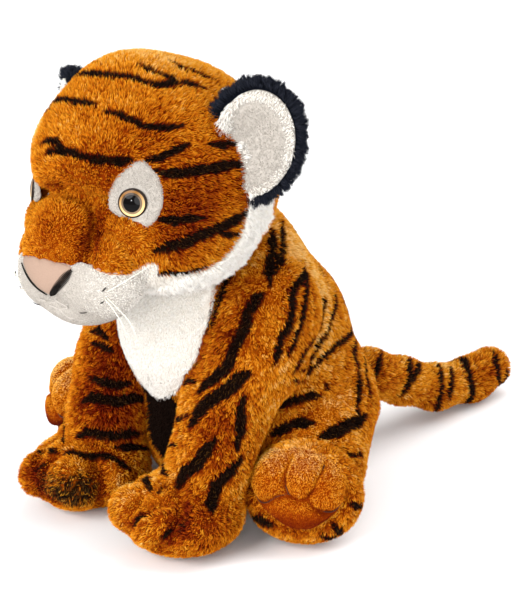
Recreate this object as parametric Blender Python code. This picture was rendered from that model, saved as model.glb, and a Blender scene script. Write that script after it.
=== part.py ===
"""Sitting plush tiger, about 28 cm tall, stuffed skins with sewn-on limbs.

World frame: the floor is z = 0, the tiger faces -Y, its left side is +X.
Lengths below are in millimetres; the meshes are written in metres.
"""

import functools
import math

import bmesh
import bpy
from mathutils import Matrix, Vector

MM = 0.001
GAP = 0.45                 # clearance between neighbouring pieces
SWEEP = 1.4                # clearance round a piece that moves
SKIN = 2.4                 # thickness of the plush fabric with its backing
PATCH = 1.7                # thickness of an appliqued patch

# Head, in its own frame: origin at the skull's centre, -Y out of the face.
HEAD_AT = (0.0, -68.0, 212.0)
HEAD_TURN, HEAD_TILT = 4.0, -7.0
SKULL = [((1, 5, -2), (68, 66.5, 66.5)), ((3, -12, 27), (44, 39, 43)), ((0, -27, 17), (47, 43, 35))]
CHEEK = ((36, -20, -24), (32, 37, 32))
BRIDGE = [(0, -50, -8, 22), (0, -68, -27, 19)]
BRIDGE_HALF = 3.0          # the bridge is two tubes side by side, this far off its middle
LIP = ((16.5, -60, -47), (23.5, 26.5, 20.5))
SNOUT = ((0, -70, -40), (20, 17.5, 14.5))
CHIN = ((-1, -58, -60), (20.5, 22.5, 13.5))
EYE_AT = {"left": (38.0, -1.2), "right": (44.0, -1.2)}       # turn from the nose and height of the eyes, degrees
EYE_CAP_R, EYE_CAP_H, EYE_SHANK_R, EYE_SHANK_L = 8.2, 5.4, 2.5, 11.0
WASHER_R, WASHER_T = 7.5, 1.8

EAR_AT = {"left": (69.0, 13.0, 23.0), "right": (-71.0, 12.5, 14.5)}
EAR_SIZE = (25.5, 6.5, 33.5)
EAR_TURN, EAR_LEAN = 33.0, {"left": 20.0, "right": 25.0}
EAR_FOLD = (-13.0, 13.0)

NECK_AT, NECK_R = (0.0, -42.0, 166.0), 24.0
HEAD_TURN_RANGE, HEAD_NOD_RANGE = (-18.0, 18.0), (-7.0, 7.0)

# Torso: seat, belly, chest and shoulders.
TORSO = [((0, 9, 50), (68, 66, 58)), ((0, 1, 98), (60, 61, 56)),
         ((0, -36, 118), (44, 42, 46)), ((0, -17, 148), (45, 45, 41))]
POUCH_TOP = 34.0

# Limbs: x, y, z, radius along each axis line, then the paw.
FORELEG = [(45, -27, 131, 28), (51, -40, 110, 26.5), (51, -52, 80, 25.5), (48, -67, 52, 25)]
PAW = ((45, -88, 24), (35, 37.5, 24.5))
SHOULDER_AT, FORELEG_RANGE = (45.0, -27.0, 131.0), (0.0, 24.0)
HINDLEG = [(41, 17, 48, 38), (66, -3, 38, 32)]
FEET = {"left": ((85, -27.5, 32), 41.0), "right": ((97, -39, 35), 40.0)}       # centre, as if on the left, and the turn of the sole
FOOT_SIZE, FOOT_RISE = (23, 33.5, 31), 5.0
HIP_AT, HINDLEG_RANGE = (42.0, 18.0, 45.0), (0.0, 15.0)
TAIL = [(0, 74, 48, 16), (0, 100, 46.5, 14), (-4, 132, 33, 13), (-8, 165, 20, 13),
        (-12, 200, 15, 13), (-14, 221, 17, 12.5)]
TAIL_AT, TAIL_RANGE = (0.0, 74.0, 48.0), (-18.0, 18.0)

GOLD = (0.46, 0.155, 0.022)
WHITE = (0.83, 0.80, 0.75)
BLACK = (0.012, 0.014, 0.018)


def turn(axis, degrees):
    return Matrix.Rotation(math.radians(degrees), 4, axis)


def about(point, axis, degrees):
    """A turn about a line through the point, in metres."""
    p = Matrix.Translation(Vector(point) * MM)
    return p @ Matrix.Rotation(math.radians(degrees), 4, Vector(axis)) @ p.inverted()


HEAD = Matrix.Translation(Vector(HEAD_AT) * MM) @ turn("Z", HEAD_TURN) @ turn("Y", HEAD_TILT)
SIDES = (("left", 1), ("right", -1))


def material(name, colour, roughness=0.95, metallic=0.0):
    made = bpy.data.materials.new(name)
    made.use_nodes = True
    shader = made.node_tree.nodes["Principled BSDF"]
    shader.inputs["Base Color"].default_value = (*colour, 1)
    shader.inputs["Roughness"].default_value = roughness
    shader.inputs["Metallic"].default_value = metallic
    made.diffuse_color = (*colour, 1)
    return made


def side_of(point, side):
    return (point[0] * side, *point[1:])


# ---------------------------------------------------------------- mesh helpers
def blob(bm, centre, radii, frame=Matrix(), segments=28):
    size = Matrix.Diagonal((*[r * MM for r in radii], 1))
    bmesh.ops.create_uvsphere(bm, u_segments=segments, v_segments=segments // 2, radius=1,
                              matrix=Matrix.Translation(Vector(centre) * MM) @ frame @ size)


def link(bm, a, b):
    """A tapered tube between two balls, with the balls."""
    start, end = Vector(a[:3]) * MM, Vector(b[:3]) * MM
    frame = Matrix.Translation((start + end) / 2) @ (end - start).to_track_quat("Z", "Y").to_matrix().to_4x4()
    bmesh.ops.create_cone(bm, cap_ends=True, segments=28, radius1=a[3] * MM, radius2=b[3] * MM,
                          depth=(end - start).length, matrix=frame)
    for ball in (a, b):
        blob(bm, ball[:3], (ball[3],) * 3)


def new_object(name, mesh):
    obj = bpy.data.objects.new(name, mesh)
    bpy.context.scene.collection.objects.link(obj)
    return obj


def from_bmesh(name, bm):
    mesh = bpy.data.meshes.new(name)
    bmesh.ops.recalc_face_normals(bm, faces=bm.faces)
    bm.to_mesh(mesh)
    bm.free()
    return mesh


def settle(obj):
    """Puts the evaluated modifiers into the mesh."""
    graph = bpy.context.evaluated_depsgraph_get()
    done = bpy.data.meshes.new_from_object(obj.evaluated_get(graph), preserve_all_data_layers=False, depsgraph=graph)
    obj.modifiers.clear()
    obj.data = done
    return obj


def soften(name, bm, voxel, rounds, ratio, frame=Matrix()):
    """One smooth stuffed shape from overlapping blobs."""
    mesh = from_bmesh(name, bm)
    mesh.transform(frame)
    obj = new_object(name, mesh)
    remesh = obj.modifiers.new("Union", "REMESH")
    remesh.mode, remesh.voxel_size = "VOXEL", voxel * MM
    smooth = obj.modifiers.new("Relax", "SMOOTH")
    smooth.factor, smooth.iterations = 0.5, rounds
    settle(obj)
    few = obj.modifiers.new("Fewer", "DECIMATE")
    few.ratio = ratio
    settle(obj)
    mesh = obj.data
    bpy.data.objects.remove(obj)
    return mesh


def grown(mesh, by):
    """A copy with its surface moved out along the normals."""
    copy = mesh.copy()
    shift = [Vector(v.normal) for v in mesh.vertices]
    for vertex, normal in zip(copy.vertices, shift):
        vertex.co += normal * by * MM
    return copy


def moved(mesh, matrix):
    copy = mesh.copy()
    copy.transform(matrix)
    if matrix.determinant() < 0:
        copy.flip_normals()
    return copy


def boolean(mesh, others, operation="DIFFERENCE"):
    """The mesh less, or shared with, each of the others in turn; only its largest body is kept."""
    obj = new_object("work", mesh.copy())
    for other in others:
        tool = new_object("tool", other)
        step = obj.modifiers.new("Cut", "BOOLEAN")
        step.operation, step.object, step.solver = operation, tool, "EXACT"
        settle(obj)
        bpy.data.objects.remove(tool)
    mesh = obj.data
    bpy.data.objects.remove(obj)
    return largest(mesh)


def largest(mesh):
    bm = bmesh.new()
    bm.from_mesh(mesh)
    bmesh.ops.remove_doubles(bm, verts=bm.verts, dist=1e-6)
    bmesh.ops.triangulate(bm, faces=bm.faces)
    left, groups = set(bm.verts), []
    while left:
        stack, group = [left.pop()], set()
        while stack:
            vertex = stack.pop()
            group.add(vertex)
            for edge in vertex.link_edges:
                other = edge.other_vert(vertex)
                if other in left:
                    left.discard(other)
                    stack.append(other)
        groups.append(group)
    groups.sort(key=len)
    for group in groups[:-1]:
        bmesh.ops.delete(bm, geom=list(group), context="VERTS")
    out = bpy.data.meshes.new(mesh.name)
    bm.to_mesh(out)
    bm.free()
    return out


def box(low, high):
    bm = bmesh.new()
    size = [(h - l) * MM for l, h in zip(low, high)]
    middle = [(h + l) / 2 * MM for l, h in zip(low, high)]
    bmesh.ops.create_cube(bm, size=1, matrix=Matrix.Translation(middle) @ Matrix.Diagonal((*size, 1)))
    return from_bmesh("box", bm)


def prism(outline, low, high, frame=Matrix()):
    """An outline in the frame's x and y, run from low to high along its z."""
    bm = bmesh.new()
    verts = [bm.verts.new((x * MM, y * MM, low * MM)) for x, y in outline]
    face = bm.faces.new(verts)
    lifted = bmesh.ops.extrude_face_region(bm, geom=[face])
    bmesh.ops.translate(bm, verts=[v for v in lifted["geom"] if isinstance(v, bmesh.types.BMVert)],
                        vec=(0, 0, (high - low) * MM))
    bmesh.ops.triangulate(bm, faces=bm.faces)
    mesh = from_bmesh("prism", bm)
    mesh.transform(frame)
    return mesh


def rod(start, end, radius, segments=14):
    bm = bmesh.new()
    a, b = Vector(start) * MM, Vector(end) * MM
    frame = Matrix.Translation((a + b) / 2) @ (b - a).to_track_quat("Z", "Y").to_matrix().to_4x4()
    bmesh.ops.create_cone(bm, cap_ends=True, segments=segments, radius1=radius * MM, radius2=radius * MM,
                          depth=(b - a).length, matrix=frame)
    return from_bmesh("rod", bm)


def ball(centre, radius, segments=24):
    bm = bmesh.new()
    blob(bm, centre, (radius,) * 3, segments=segments)
    return from_bmesh("ball", bm)


def lathe(profile, frame, segments=20):
    """A solid of revolution about the frame's z from (radius, height) pairs that start and end on the axis."""
    bm = bmesh.new()
    verts = [bm.verts.new((r * MM, 0, z * MM)) for r, z in profile]
    edges = [bm.edges.new(pair) for pair in zip(verts, verts[1:])]
    bmesh.ops.spin(bm, geom=verts + edges, cent=(0, 0, 0), axis=(0, 0, 1), angle=math.tau, steps=segments,
                   use_merge=True)
    bmesh.ops.remove_doubles(bm, verts=bm.verts, dist=1e-6)
    mesh = from_bmesh("lathe", bm)
    mesh.transform(frame)
    return mesh


def swept(meshes, point, axis, limits, step):
    """Copies of the meshes across a joint's range, to clear their path."""
    count = max(1, math.ceil((limits[1] - limits[0]) / step))
    angles = [limits[0] + (limits[1] - limits[0]) * i / count for i in range(count + 1)]
    if 0.0 not in angles:
        angles.append(0.0)
    return [moved(mesh, about(point, axis, angle)) for angle in angles for mesh in meshes]


def room_for(meshes, ratio, voxel=3.0):
    """One clean solid round all of the meshes: the space that a moving piece takes."""
    bm = bmesh.new()
    for mesh in meshes:
        bm.from_mesh(mesh)
    joined = bpy.data.meshes.new("room")
    bm.to_mesh(joined)
    bm.free()
    obj = new_object("room", joined)
    remesh = obj.modifiers.new("Union", "REMESH")
    remesh.mode, remesh.voxel_size = "VOXEL", voxel * MM
    few = obj.modifiers.new("Fewer", "DECIMATE")
    few.ratio = ratio
    settle(obj)
    mesh = obj.data
    bpy.data.objects.remove(obj)
    return grown(mesh, 1.4)


# ---------------------------------------------------------------- scene
for old in list(bpy.data.objects):
    bpy.data.objects.remove(old)

PLUSH = material("gold_plush", GOLD)
DARK = material("black_plush", BLACK)
PALE = material("white_plush", WHITE)
FILL = material("polyester_stuffing", (0.9, 0.9, 0.88))
BEANS = material("pellet_pouch", (0.55, 0.5, 0.42), 0.8)
AMBER = material("amber_plastic", (0.28, 0.13, 0.03), 0.15)
NYLON = material("nylon_washer", (0.8, 0.8, 0.78), 0.5)
PINK = material("pink_fabric", (0.72, 0.42, 0.34), 0.8)
THREAD = material("dark_thread", (0.02, 0.018, 0.018), 0.7)
PALE_THREAD = material("pale_thread", (0.42, 0.40, 0.38), 0.8)
HAIR = material("whisker_filament", (0.86, 0.84, 0.78), 0.4)
SOLE = material("short_pile", (0.44, 0.16, 0.03))

pivots = {}


def pivot(name, point, parent=None):
    empty = bpy.data.objects.new(name, None)
    empty.empty_display_size = 0.02
    bpy.context.scene.collection.objects.link(empty)
    empty.location = Vector(point) * MM
    if parent:
        empty.location = Vector(point) * MM - pivots[parent].matrix_world.translation
        empty.parent = pivots[parent]
    bpy.context.view_layer.update()
    pivots[name] = empty


def piece(name, mesh, finish, on):
    mesh = mesh.copy()
    mesh.name = name
    home = pivots[on].matrix_world.translation
    mesh.transform(Matrix.Translation(-home))
    mesh.materials.clear()
    mesh.materials.append(finish)
    mesh.shade_smooth()
    mesh.set_sharp_from_angle(angle=math.radians(40))
    obj = new_object(name, mesh)
    obj.parent = pivots[on]
    return obj


pivot("torso_pivot", (0, 0, 0))
pivot("neck_turn_pivot", NECK_AT, "torso_pivot")
pivot("head_nod_pivot", NECK_AT, "neck_turn_pivot")

# ---------------------------------------------------------------- master shapes
def less(radii, by):
    return tuple(r - by for r in radii)


def head_shape(inset=0.0, ratio=0.024):
    """The skull, cheeks, nose bridge and lips, with every surface this far in."""
    bm = bmesh.new()
    for centre, radii in SKULL:
        blob(bm, centre, less(radii, inset))
    for name, side in SIDES:
        blob(bm, side_of(CHEEK[0], side), less(CHEEK[1], inset))
        blob(bm, side_of(LIP[0], side), less(LIP[1], inset))
        link(bm, *[(point[0] + side * BRIDGE_HALF, *point[1:3], point[3] - inset) for point in BRIDGE])
    for centre, radii in (SNOUT, CHIN):
        blob(bm, centre, less(radii, inset))
    return soften("head", bm, 3.0, 6, ratio, HEAD)


def torso_shape(inset=0.0, ratio=0.04):
    bm = bmesh.new()
    for centre, radii in TORSO:
        blob(bm, centre, less(radii, inset))
    return soften("torso", bm, 4.0, 10, ratio)


def foreleg_shape(inset=0.0, ratio=0.024):
    bm = bmesh.new()
    for a, b in zip(FORELEG, FORELEG[1:]):
        link(bm, (*a[:3], a[3] - inset), (*b[:3], b[3] - inset))
    blob(bm, PAW[0], less(PAW[1], inset))
    return above(soften("foreleg", bm, 3.0, 6, ratio), inset)


def hindleg_shape(name, inset=0.0, ratio=0.024):
    foot, aim = FEET[name]
    bm = bmesh.new()
    for a, b in zip(HINDLEG, HINDLEG[1:]):
        link(bm, (*a[:3], a[3] - inset), (*b[:3], b[3] - inset))
    frame = turn("Z", aim) @ turn("X", -FOOT_RISE)
    blob(bm, foot, less((FOOT_SIZE[1], FOOT_SIZE[0], FOOT_SIZE[2]), inset), frame)
    return above(soften("hindleg", bm, 3.0, 6, ratio), inset)


def tail_shape(inset=0.0, ratio=0.024):
    bm = bmesh.new()
    for a, b in zip(TAIL, TAIL[1:]):
        link(bm, (*a[:3], a[3] - inset), (*b[:3], b[3] - inset))
    return above(soften("tail", bm, 2.5, 4, ratio), inset)


def above(mesh, height):
    """Cut flat at this height over the floor."""
    return boolean(mesh, [box((-400, -400, -200), (400, 400, height))])


IN_SKIN, IN_FILL = SKIN, SKIN + GAP + 2.0
head, torso, tail = head_shape(), torso_shape(), tail_shape()
foreleg = foreleg_shape()

MIRROR = Matrix.Diagonal((-1, 1, 1, 1))


def sided(mesh, side):
    return mesh.copy() if side > 0 else moved(mesh, MIRROR)


limbs = {}
for name, side in SIDES:
    limbs["foreleg_" + name] = sided(foreleg, side)
    limbs["hindleg_" + name] = sided(hindleg_shape(name), side)

# Ears: two sewn layers, hinged along the edge that is sewn into the head.
ear_frames, ears, ear_axes, ear_pivots = {}, {}, {}, {}
for name, side in SIDES:
    frame = (HEAD @ Matrix.Translation(Vector(EAR_AT[name]) * MM)
             @ turn("Z", EAR_TURN * side) @ turn("Y", EAR_LEAN[name] * side))
    ear_frames[name] = frame
    bm = bmesh.new()
    blob(bm, (0, 0, 0), (EAR_SIZE[0], EAR_SIZE[1], EAR_SIZE[2]), segments=16)
    whole = from_bmesh("ear", bm)
    bm = bmesh.new()
    blob(bm, (0, -9.5, 1), (EAR_SIZE[0] * 0.72, 8.0, EAR_SIZE[2] * 0.76), segments=14)
    hollow = from_bmesh("hollow", bm)
    whole = boolean(whole, [hollow])
    ears[name] = moved(whole, frame)
    ear_axes[name] = (frame.to_3x3() @ Vector((0, 0, 1))).normalized()
    ear_pivots[name] = frame @ (Vector((-side * (EAR_SIZE[0] - 7), 0, 0)) * MM) / MM

nod_axis = (HEAD.to_3x3() @ Vector((1, 0, 0)))
nod_axis = Vector((nod_axis.x, nod_axis.y, 0)).normalized()


def ear_swept(name, by, step=7.0):
    return room_for(swept([grown(ears[name], by)], ear_pivots[name], ear_axes[name], EAR_FOLD, step), 0.04, 2.0)


def over_head(outline, low, high, frame, bottom, top, cuts=()):
    """A patch of fabric that lies on the head between two heights over its surface."""
    shaped = boolean(grown(head, top), [prism(outline, low, high, frame)], "INTERSECT")
    return boolean(shaped, [grown(head, bottom), *cuts])


# ---------------------------------------------------------------- eyes
eye_frames = {}
bvh_head = new_object("probe", head.copy())
bpy.context.view_layer.update()


def on_head(direction, start=(0, 0, 0)):
    """Where a ray from inside the head leaves it: point and normal, in the world."""
    far = HEAD @ (Vector(start) * MM + Vector(direction).normalized() * 0.3)
    near = HEAD @ (Vector(start) * MM)
    hit, point, normal, _ = bvh_head.ray_cast(far, (near - far).normalized())
    return point, normal


for name, side in SIDES:
    turned, up = math.radians(EYE_AT[name][0] * side), math.radians(EYE_AT[name][1])
    way = (math.sin(turned) * math.cos(up), -math.cos(turned) * math.cos(up), math.sin(up))
    point, normal = on_head(way)
    upright = HEAD.to_3x3() @ Vector((0, 0, 1))
    z = (normal + 0.6 * (HEAD.to_3x3() @ Vector(way)).normalized()).normalized()
    x = upright.cross(z).normalized()
    y = z.cross(x)
    frame = Matrix((x, y, z)).transposed().to_4x4()
    frame.translation = point
    eye_frames[name] = frame

# ---------------------------------------------------------------- head pieces
pivot("ear_left_pivot", ear_pivots["left"], "head_nod_pivot")
pivot("ear_right_pivot", ear_pivots["right"], "head_nod_pivot")

neck_socket = ball(NECK_AT, NECK_R + GAP + 0.35, 18)
ear_room = {name: ear_swept(name, SWEEP) for name, _ in SIDES}
head_cuts = [neck_socket, ear_room["left"], ear_room["right"]]
eye_holes = [rod(f @ Vector((0, 0, -0.02)) / MM, f @ Vector((0, 0, 0.02)) / MM, EYE_SHANK_R + 0.4, 10)
             for f in eye_frames.values()]
washer_space = [rod(f @ Vector((0, 0, -0.0135)) / MM, f @ Vector((0, 0, 0.0)) / MM, WASHER_R + 0.6)
                for f in eye_frames.values()]

eye_seats = [rod(f @ Vector((0, 0, 0.0008)) / MM, f @ Vector((0, 0, 0.02)) / MM, EYE_CAP_R + 0.5, 20)
             for f in eye_frames.values()]
head_skin = boolean(head, [head_shape(IN_SKIN), *head_cuts, *eye_holes, *eye_seats])
piece("head_skin", head_skin, PLUSH, "head_nod_pivot")
piece("head_stuffing", boolean(head_shape(IN_FILL + 0.5, 0.018), head_cuts + washer_space), FILL, "head_nod_pivot")

PATCH_OUTLINE = [(-13, -13), (-4, -18), (6, -18), (14, -10), (17, 2), (14, 14), (7, 24), (1, 29), (-7, 22), (-13, 12), (-17, 0)]
for name, side in SIDES:
    frame = eye_frames[name]
    outline = [(x * side, y) for x, y in PATCH_OUTLINE][:: side]
    hole = rod(frame @ Vector((0, 0, -0.02)) / MM, frame @ Vector((0, 0, 0.02)) / MM, EYE_SHANK_R + 0.4)
    seat = rod(frame @ Vector((0, 0, 0.0008)) / MM, frame @ Vector((0, 0, 0.02)) / MM, EYE_CAP_R + 0.5, 20)
    patch = over_head(outline, -12, 14, frame, GAP, GAP + PATCH, [hole, seat])
    piece("eye_patch_" + name, patch, PALE, "head_nod_pivot")
    cap = [(0, -EYE_SHANK_L), (EYE_SHANK_R, -EYE_SHANK_L), (EYE_SHANK_R, 1.3), (EYE_CAP_R, 1.3), (EYE_CAP_R, 2.1),
           (EYE_CAP_R * 0.86, 1.3 + EYE_CAP_H * 0.55), (EYE_CAP_R * 0.55, 1.3 + EYE_CAP_H * 0.87), (0, 1.3 + EYE_CAP_H)]
    piece("safety_eye_" + name, lathe(cap, frame, 16), AMBER, "head_nod_pivot")
    low = -SKIN - 3.2
    ring = [(EYE_SHANK_R + 0.35, low - WASHER_T), (WASHER_R, low - WASHER_T), (WASHER_R, low), (EYE_SHANK_R + 0.35, low)]
    bm = bmesh.new()
    verts = [bm.verts.new((r * MM, 0, z * MM)) for r, z in ring]
    edges = [bm.edges.new((verts[i], verts[(i + 1) % 4])) for i in range(4)]
    bmesh.ops.spin(bm, geom=verts + edges, cent=(0, 0, 0), axis=(0, 0, 1), angle=math.tau, steps=20, use_merge=True)
    bmesh.ops.remove_doubles(bm, verts=bm.verts, dist=1e-6)
    mesh = from_bmesh("washer", bm)
    mesh.transform(frame)
    piece("lock_washer_" + name, mesh, NYLON, "head_nod_pivot")

# Face panels: outlines are in the head's x (to the left side) and z, seen from the front.
front = HEAD @ turn("X", 90)                              # prism z runs out of the back of the head
NOSE = [(-18.5, -33.5), (-9, -30.5), (8, -31), (18.5, -33.5), (17, -38), (12, -43), (3, -49.5), (-0.5, -51), (-4, -49.5),
        (-12, -43), (-17.5, -38)][::-1]
piece("nose_patch", over_head(NOSE, 50, 110, front, GAP, GAP + 2.0), PINK, "head_nod_pivot")
nose_space = prism([(x * 1.05, (z + 40) * 1.05 - 40) for x, z in NOSE], 40, 115, front)
MUZZLE = [(-48, -31), (-42, -38), (-34, -37.5), (-27, -33), (-21, -30.5), (-16, -31.5), (16, -31.5), (21, -30.5), (27, -33), (34, -37.5),
          (42, -38), (48, -31), (46, -46), (40, -58), (24, -78), (-24, -78), (-40, -58), (-46, -46)][::-1]
muzzle = over_head(MUZZLE, 34, 110, front, GAP, GAP + PATCH, [nose_space])
piece("muzzle_panel", muzzle, PALE, "head_nod_pivot")
for name, side in SIDES:
    slit = [(2.2 * side, -49.3), (9.0 * side, -44.6), (14.4 * side, -39.3), (17.0 * side, -35.6), (15.6 * side, -35.2),
            (12.2 * side, -38.4), (7.0 * side, -43.8)][::side]
    piece("nostril_stitch_" + name, over_head(slit, 50, 110, front, 2 * GAP + 2.0, 2 * GAP + 3.0), THREAD,
          "head_nod_pivot")
mouth = [(-0.8, -53), (0.8, -53), (0.8, -57), (8, -61.5), (17, -64), (17, -65.6), (7.5, -63.3), (0, -58.8), (-7.5, -63.3),
         (-17, -65.6), (-17, -64), (-8, -61.5), (-0.8, -57)][::-1]
piece("mouth_stitch", over_head(mouth, 50, 110, front, 2 * GAP + PATCH, 2 * GAP + PATCH + 0.9), PALE_THREAD, "head_nod_pivot")

# Long white pile behind each cheek: outline in the head's y and z, seen from its left side.
across = HEAD @ Matrix(((0, 0, 1, 0), (1, 0, 0, 0), (0, 1, 0, 0), (0, 0, 0, 1)))
RUFF = [(20, 44), (12, 46), (6, 34), (4, 18), (5, 0), (5, -15), (-1, -30), (-14, -41), (-28, -44), (-36, -46), (-34, -70),
        (-12, -70), (14, -60), (28, -36), (33, -12), (30, 10), (22, 34)]
for name, side in SIDES:
    span = (24, 100) if side > 0 else (-100, -24)
    band = boolean(grown(head, 6.5), [prism(RUFF, *span, across)], "INTERSECT")
    band = boolean(band, [grown(head, GAP + 0.2), neck_socket, ear_room[name], prism(MUZZLE, 20, 120, front)])
    piece("ruff_" + name, band, PALE, "head_nod_pivot")

for name, side in SIDES:
    frame = ear_frames[name]
    back = box((-60, 0.25, -60), (60, 60, 60))
    back.transform(frame)
    face = box((-60, -60, -60), (60, -0.25, 60))
    face.transform(frame)
    piece("ear_back_" + name, boolean(ears[name], [back], "INTERSECT"), DARK, f"ear_{name}_pivot")
    piece("ear_lining_" + name, boolean(ears[name], [face], "INTERSECT"), PALE, f"ear_{name}_pivot")

# Whiskers: stiff filaments sewn into the muzzle.
WHISKERS = [((31.0, -77.0, -43.0), (50, -74, -38), (70, -62, -22)),
            ((33.0, -75.0, -50.5), (50, -76, -60), (66, -68, -78)),
            ((36.0, -71.0, -46.0), (55, -68, -50), (74, -54, -58))]
for name, side in SIDES:
    for number, (root, middle, tip) in enumerate(WHISKERS, 1):
        way = Vector(side_of(root, side))
        middle_, tip_ = Vector(side_of(middle, side)), Vector(side_of(tip, side))
        inside = Vector((side * 12, -50, -42))
        point, normal = on_head((way - inside), inside)
        start = point + normal * (GAP + PATCH + 1.4) * MM
        ends = [start, HEAD @ (middle_ * MM), HEAD @ (tip_ * MM)]
        home = pivots["head_nod_pivot"].matrix_world.translation
        curve = bpy.data.curves.new(f"whisker_{name}_{number}", "CURVE")
        curve.dimensions, curve.bevel_depth, curve.bevel_resolution = "3D", 0.45 * MM, 0
        curve.resolution_u, curve.use_fill_caps = 4, True
        spline = curve.splines.new("BEZIER")
        spline.bezier_points.add(2)
        for knot, at in zip(spline.bezier_points, ends):
            knot.co = at - home
            knot.handle_left_type = knot.handle_right_type = "AUTO"
        curve.materials.append(HAIR)
        obj = new_object(f"whisker_{name}_{number}", curve)
        obj.parent = pivots["head_nod_pivot"]

# ---------------------------------------------------------------- neck
piece("neck_stuffing", ball(NECK_AT, NECK_R, 18), FILL, "neck_turn_pivot")

# ---------------------------------------------------------------- what the torso makes room for
head_envelope = head_shape(-7.2 - SWEEP, 0.03)
poses = [about(NECK_AT, (0, 0, 1), yaw) @ about(NECK_AT, nod_axis, nod)
         for nod in (HEAD_NOD_RANGE[0], 0.0, HEAD_NOD_RANGE[1]) for yaw in (HEAD_TURN_RANGE[0], 0.0, HEAD_TURN_RANGE[1])]
head_room = room_for([moved(head_envelope, pose) for pose in poses], 0.012)
leg_room = {}
for name, side in SIDES:
    fore = sided(foreleg_shape(-SWEEP, 0.035), side)
    leg_room["foreleg_" + name] = room_for(
        swept([fore], side_of(SHOULDER_AT, side), (-1, 0, 0), FORELEG_RANGE, 8.0), 0.016)
    hind = sided(hindleg_shape(name, -SWEEP, 0.035), side)
    leg_room["hindleg_" + name] = room_for(
        swept([hind], side_of(HIP_AT, side), (0, 0, side), HINDLEG_RANGE, 5.0), 0.016)
tail_room = room_for(swept([tail_shape(-SWEEP, 0.03)], TAIL_AT, (0, 0, 1), TAIL_RANGE, 9.0), 0.016)
# The head's room as each shoulder meets it at any point of its swing.
head_pass = {name: room_for(swept([head_room], side_of(SHOULDER_AT, side), (-1, 0, 0),
                                  (-FORELEG_RANGE[1], -FORELEG_RANGE[0]), 8.0), 0.012) for name, side in SIDES}
room = [neck_socket, head_room, *leg_room.values(), tail_room]

# ---------------------------------------------------------------- limbs
for name, side in SIDES:
    for kind, point, finish in (("foreleg", SHOULDER_AT, PLUSH), ("hindleg", HIP_AT, PLUSH)):
        key = f"{kind}_{name}"
        pivot(key + "_pivot", side_of(point, side), "torso_pivot")
        whole = limbs[key]
        trims = [leg_room["foreleg_" + name]] if kind == "hindleg" else [head_pass[name]]
        centre = side_of(point, side)
        opening = rod(centre, (centre[0] - side * 60, centre[1], centre[2]), 11.0, 16)
        shape = foreleg_shape if kind == "foreleg" else functools.partial(hindleg_shape, name)
        skin = boolean(whole, [sided(shape(IN_SKIN), side), opening, *trims])
        piece(key + "_skin", skin, finish, key + "_pivot")
        piece(key + "_stuffing", boolean(sided(shape(IN_FILL, 0.03), side), [grown(m, 0.4) for m in trims]), FILL, key + "_pivot")
    # Sole pad and its toe stitches, seen along the foot.
    frame = Matrix.Translation(Vector(side_of(FEET[name][0], side)) * MM) @ turn("Z", FEET[name][1] * side) @ turn("X", -FOOT_RISE) @ turn("X", 90)
    sole = [(-25 * math.cos(a), 23 * math.sin(a) - 1.0) for a in [math.tau * i / 18 for i in range(18)]]
    whole = limbs["hindleg_" + name]
    pad = boolean(grown(whole, GAP + 1.6), [prism(sole, 4, 60, frame)], "INTERSECT")
    pad = boolean(pad, [grown(whole, GAP), box((-400, -400, -200), (400, 400, 2)), leg_room["foreleg_" + name]])
    piece("sole_pad_" + name, pad, SOLE, f"hindleg_{name}_pivot")
    path = [(-11, 18), (-9, 9), (-10, 0), (0, -3.5), (10, 0), (9, 9), (11, 18)]
    inner_path = [(10.1, 18), (8.1, 9), (9.0, 1.2), (0, -2.2), (-9.0, 1.2), (-8.1, 9), (-10.1, 18)]
    loop = boolean(grown(whole, 2 * GAP + 2.5), [prism(path + inner_path, 6, 60, frame)], "INTERSECT")
    loop = boolean(loop, [grown(whole, 2 * GAP + 1.6)])
    piece("toe_stitch_" + name, loop, THREAD, f"hindleg_{name}_pivot")

pivot("tail_pivot", TAIL_AT, "torso_pivot")
opening = rod((TAIL_AT[0], TAIL_AT[1], TAIL_AT[2]), (TAIL_AT[0], TAIL_AT[1] - 40, TAIL_AT[2]), 8.0, 14)
piece("tail_skin", boolean(tail, [tail_shape(IN_SKIN), opening]), PLUSH, "tail_pivot")
piece("tail_stuffing", tail_shape(IN_FILL, 0.03), FILL, "tail_pivot")

# ---------------------------------------------------------------- torso
piece("torso_skin", boolean(above(torso, 0), [above(torso_shape(IN_SKIN), SKIN), *room]), PLUSH, "torso_pivot")
piece("torso_stuffing", boolean(above(torso_shape(IN_FILL, 0.03), POUCH_TOP + GAP), room), FILL, "torso_pivot")
pouch = boolean(above(torso_shape(IN_FILL + 0.5, 0.03), IN_FILL), [box((-400, -400, POUCH_TOP), (400, 400, 400)), *room])
piece("pellet_pouch", pouch, BEANS, "torso_pivot")
BIB = [(-40, 176), (-38, 120), (-26, 92), (-10, 74), (0, 69), (10, 74), (26, 92), (38, 120), (40, 176)][::-1]
forward = Matrix(((1, 0, 0, 0), (0, 0, -1, 0), (0, 1, 0, 0), (0, 0, 0, 1)))       # x, z outline run along -Y
bib = boolean(grown(torso, GAP + PATCH), [prism(BIB, 30, 130, forward)], "INTERSECT")
bib = boolean(bib, [grown(torso, GAP), *room])
piece("chest_bib", bib, PALE, "torso_pivot")

bpy.data.objects.remove(bvh_head)
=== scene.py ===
import math

import bpy
import numpy as np
from mathutils import Matrix, Vector


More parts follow.
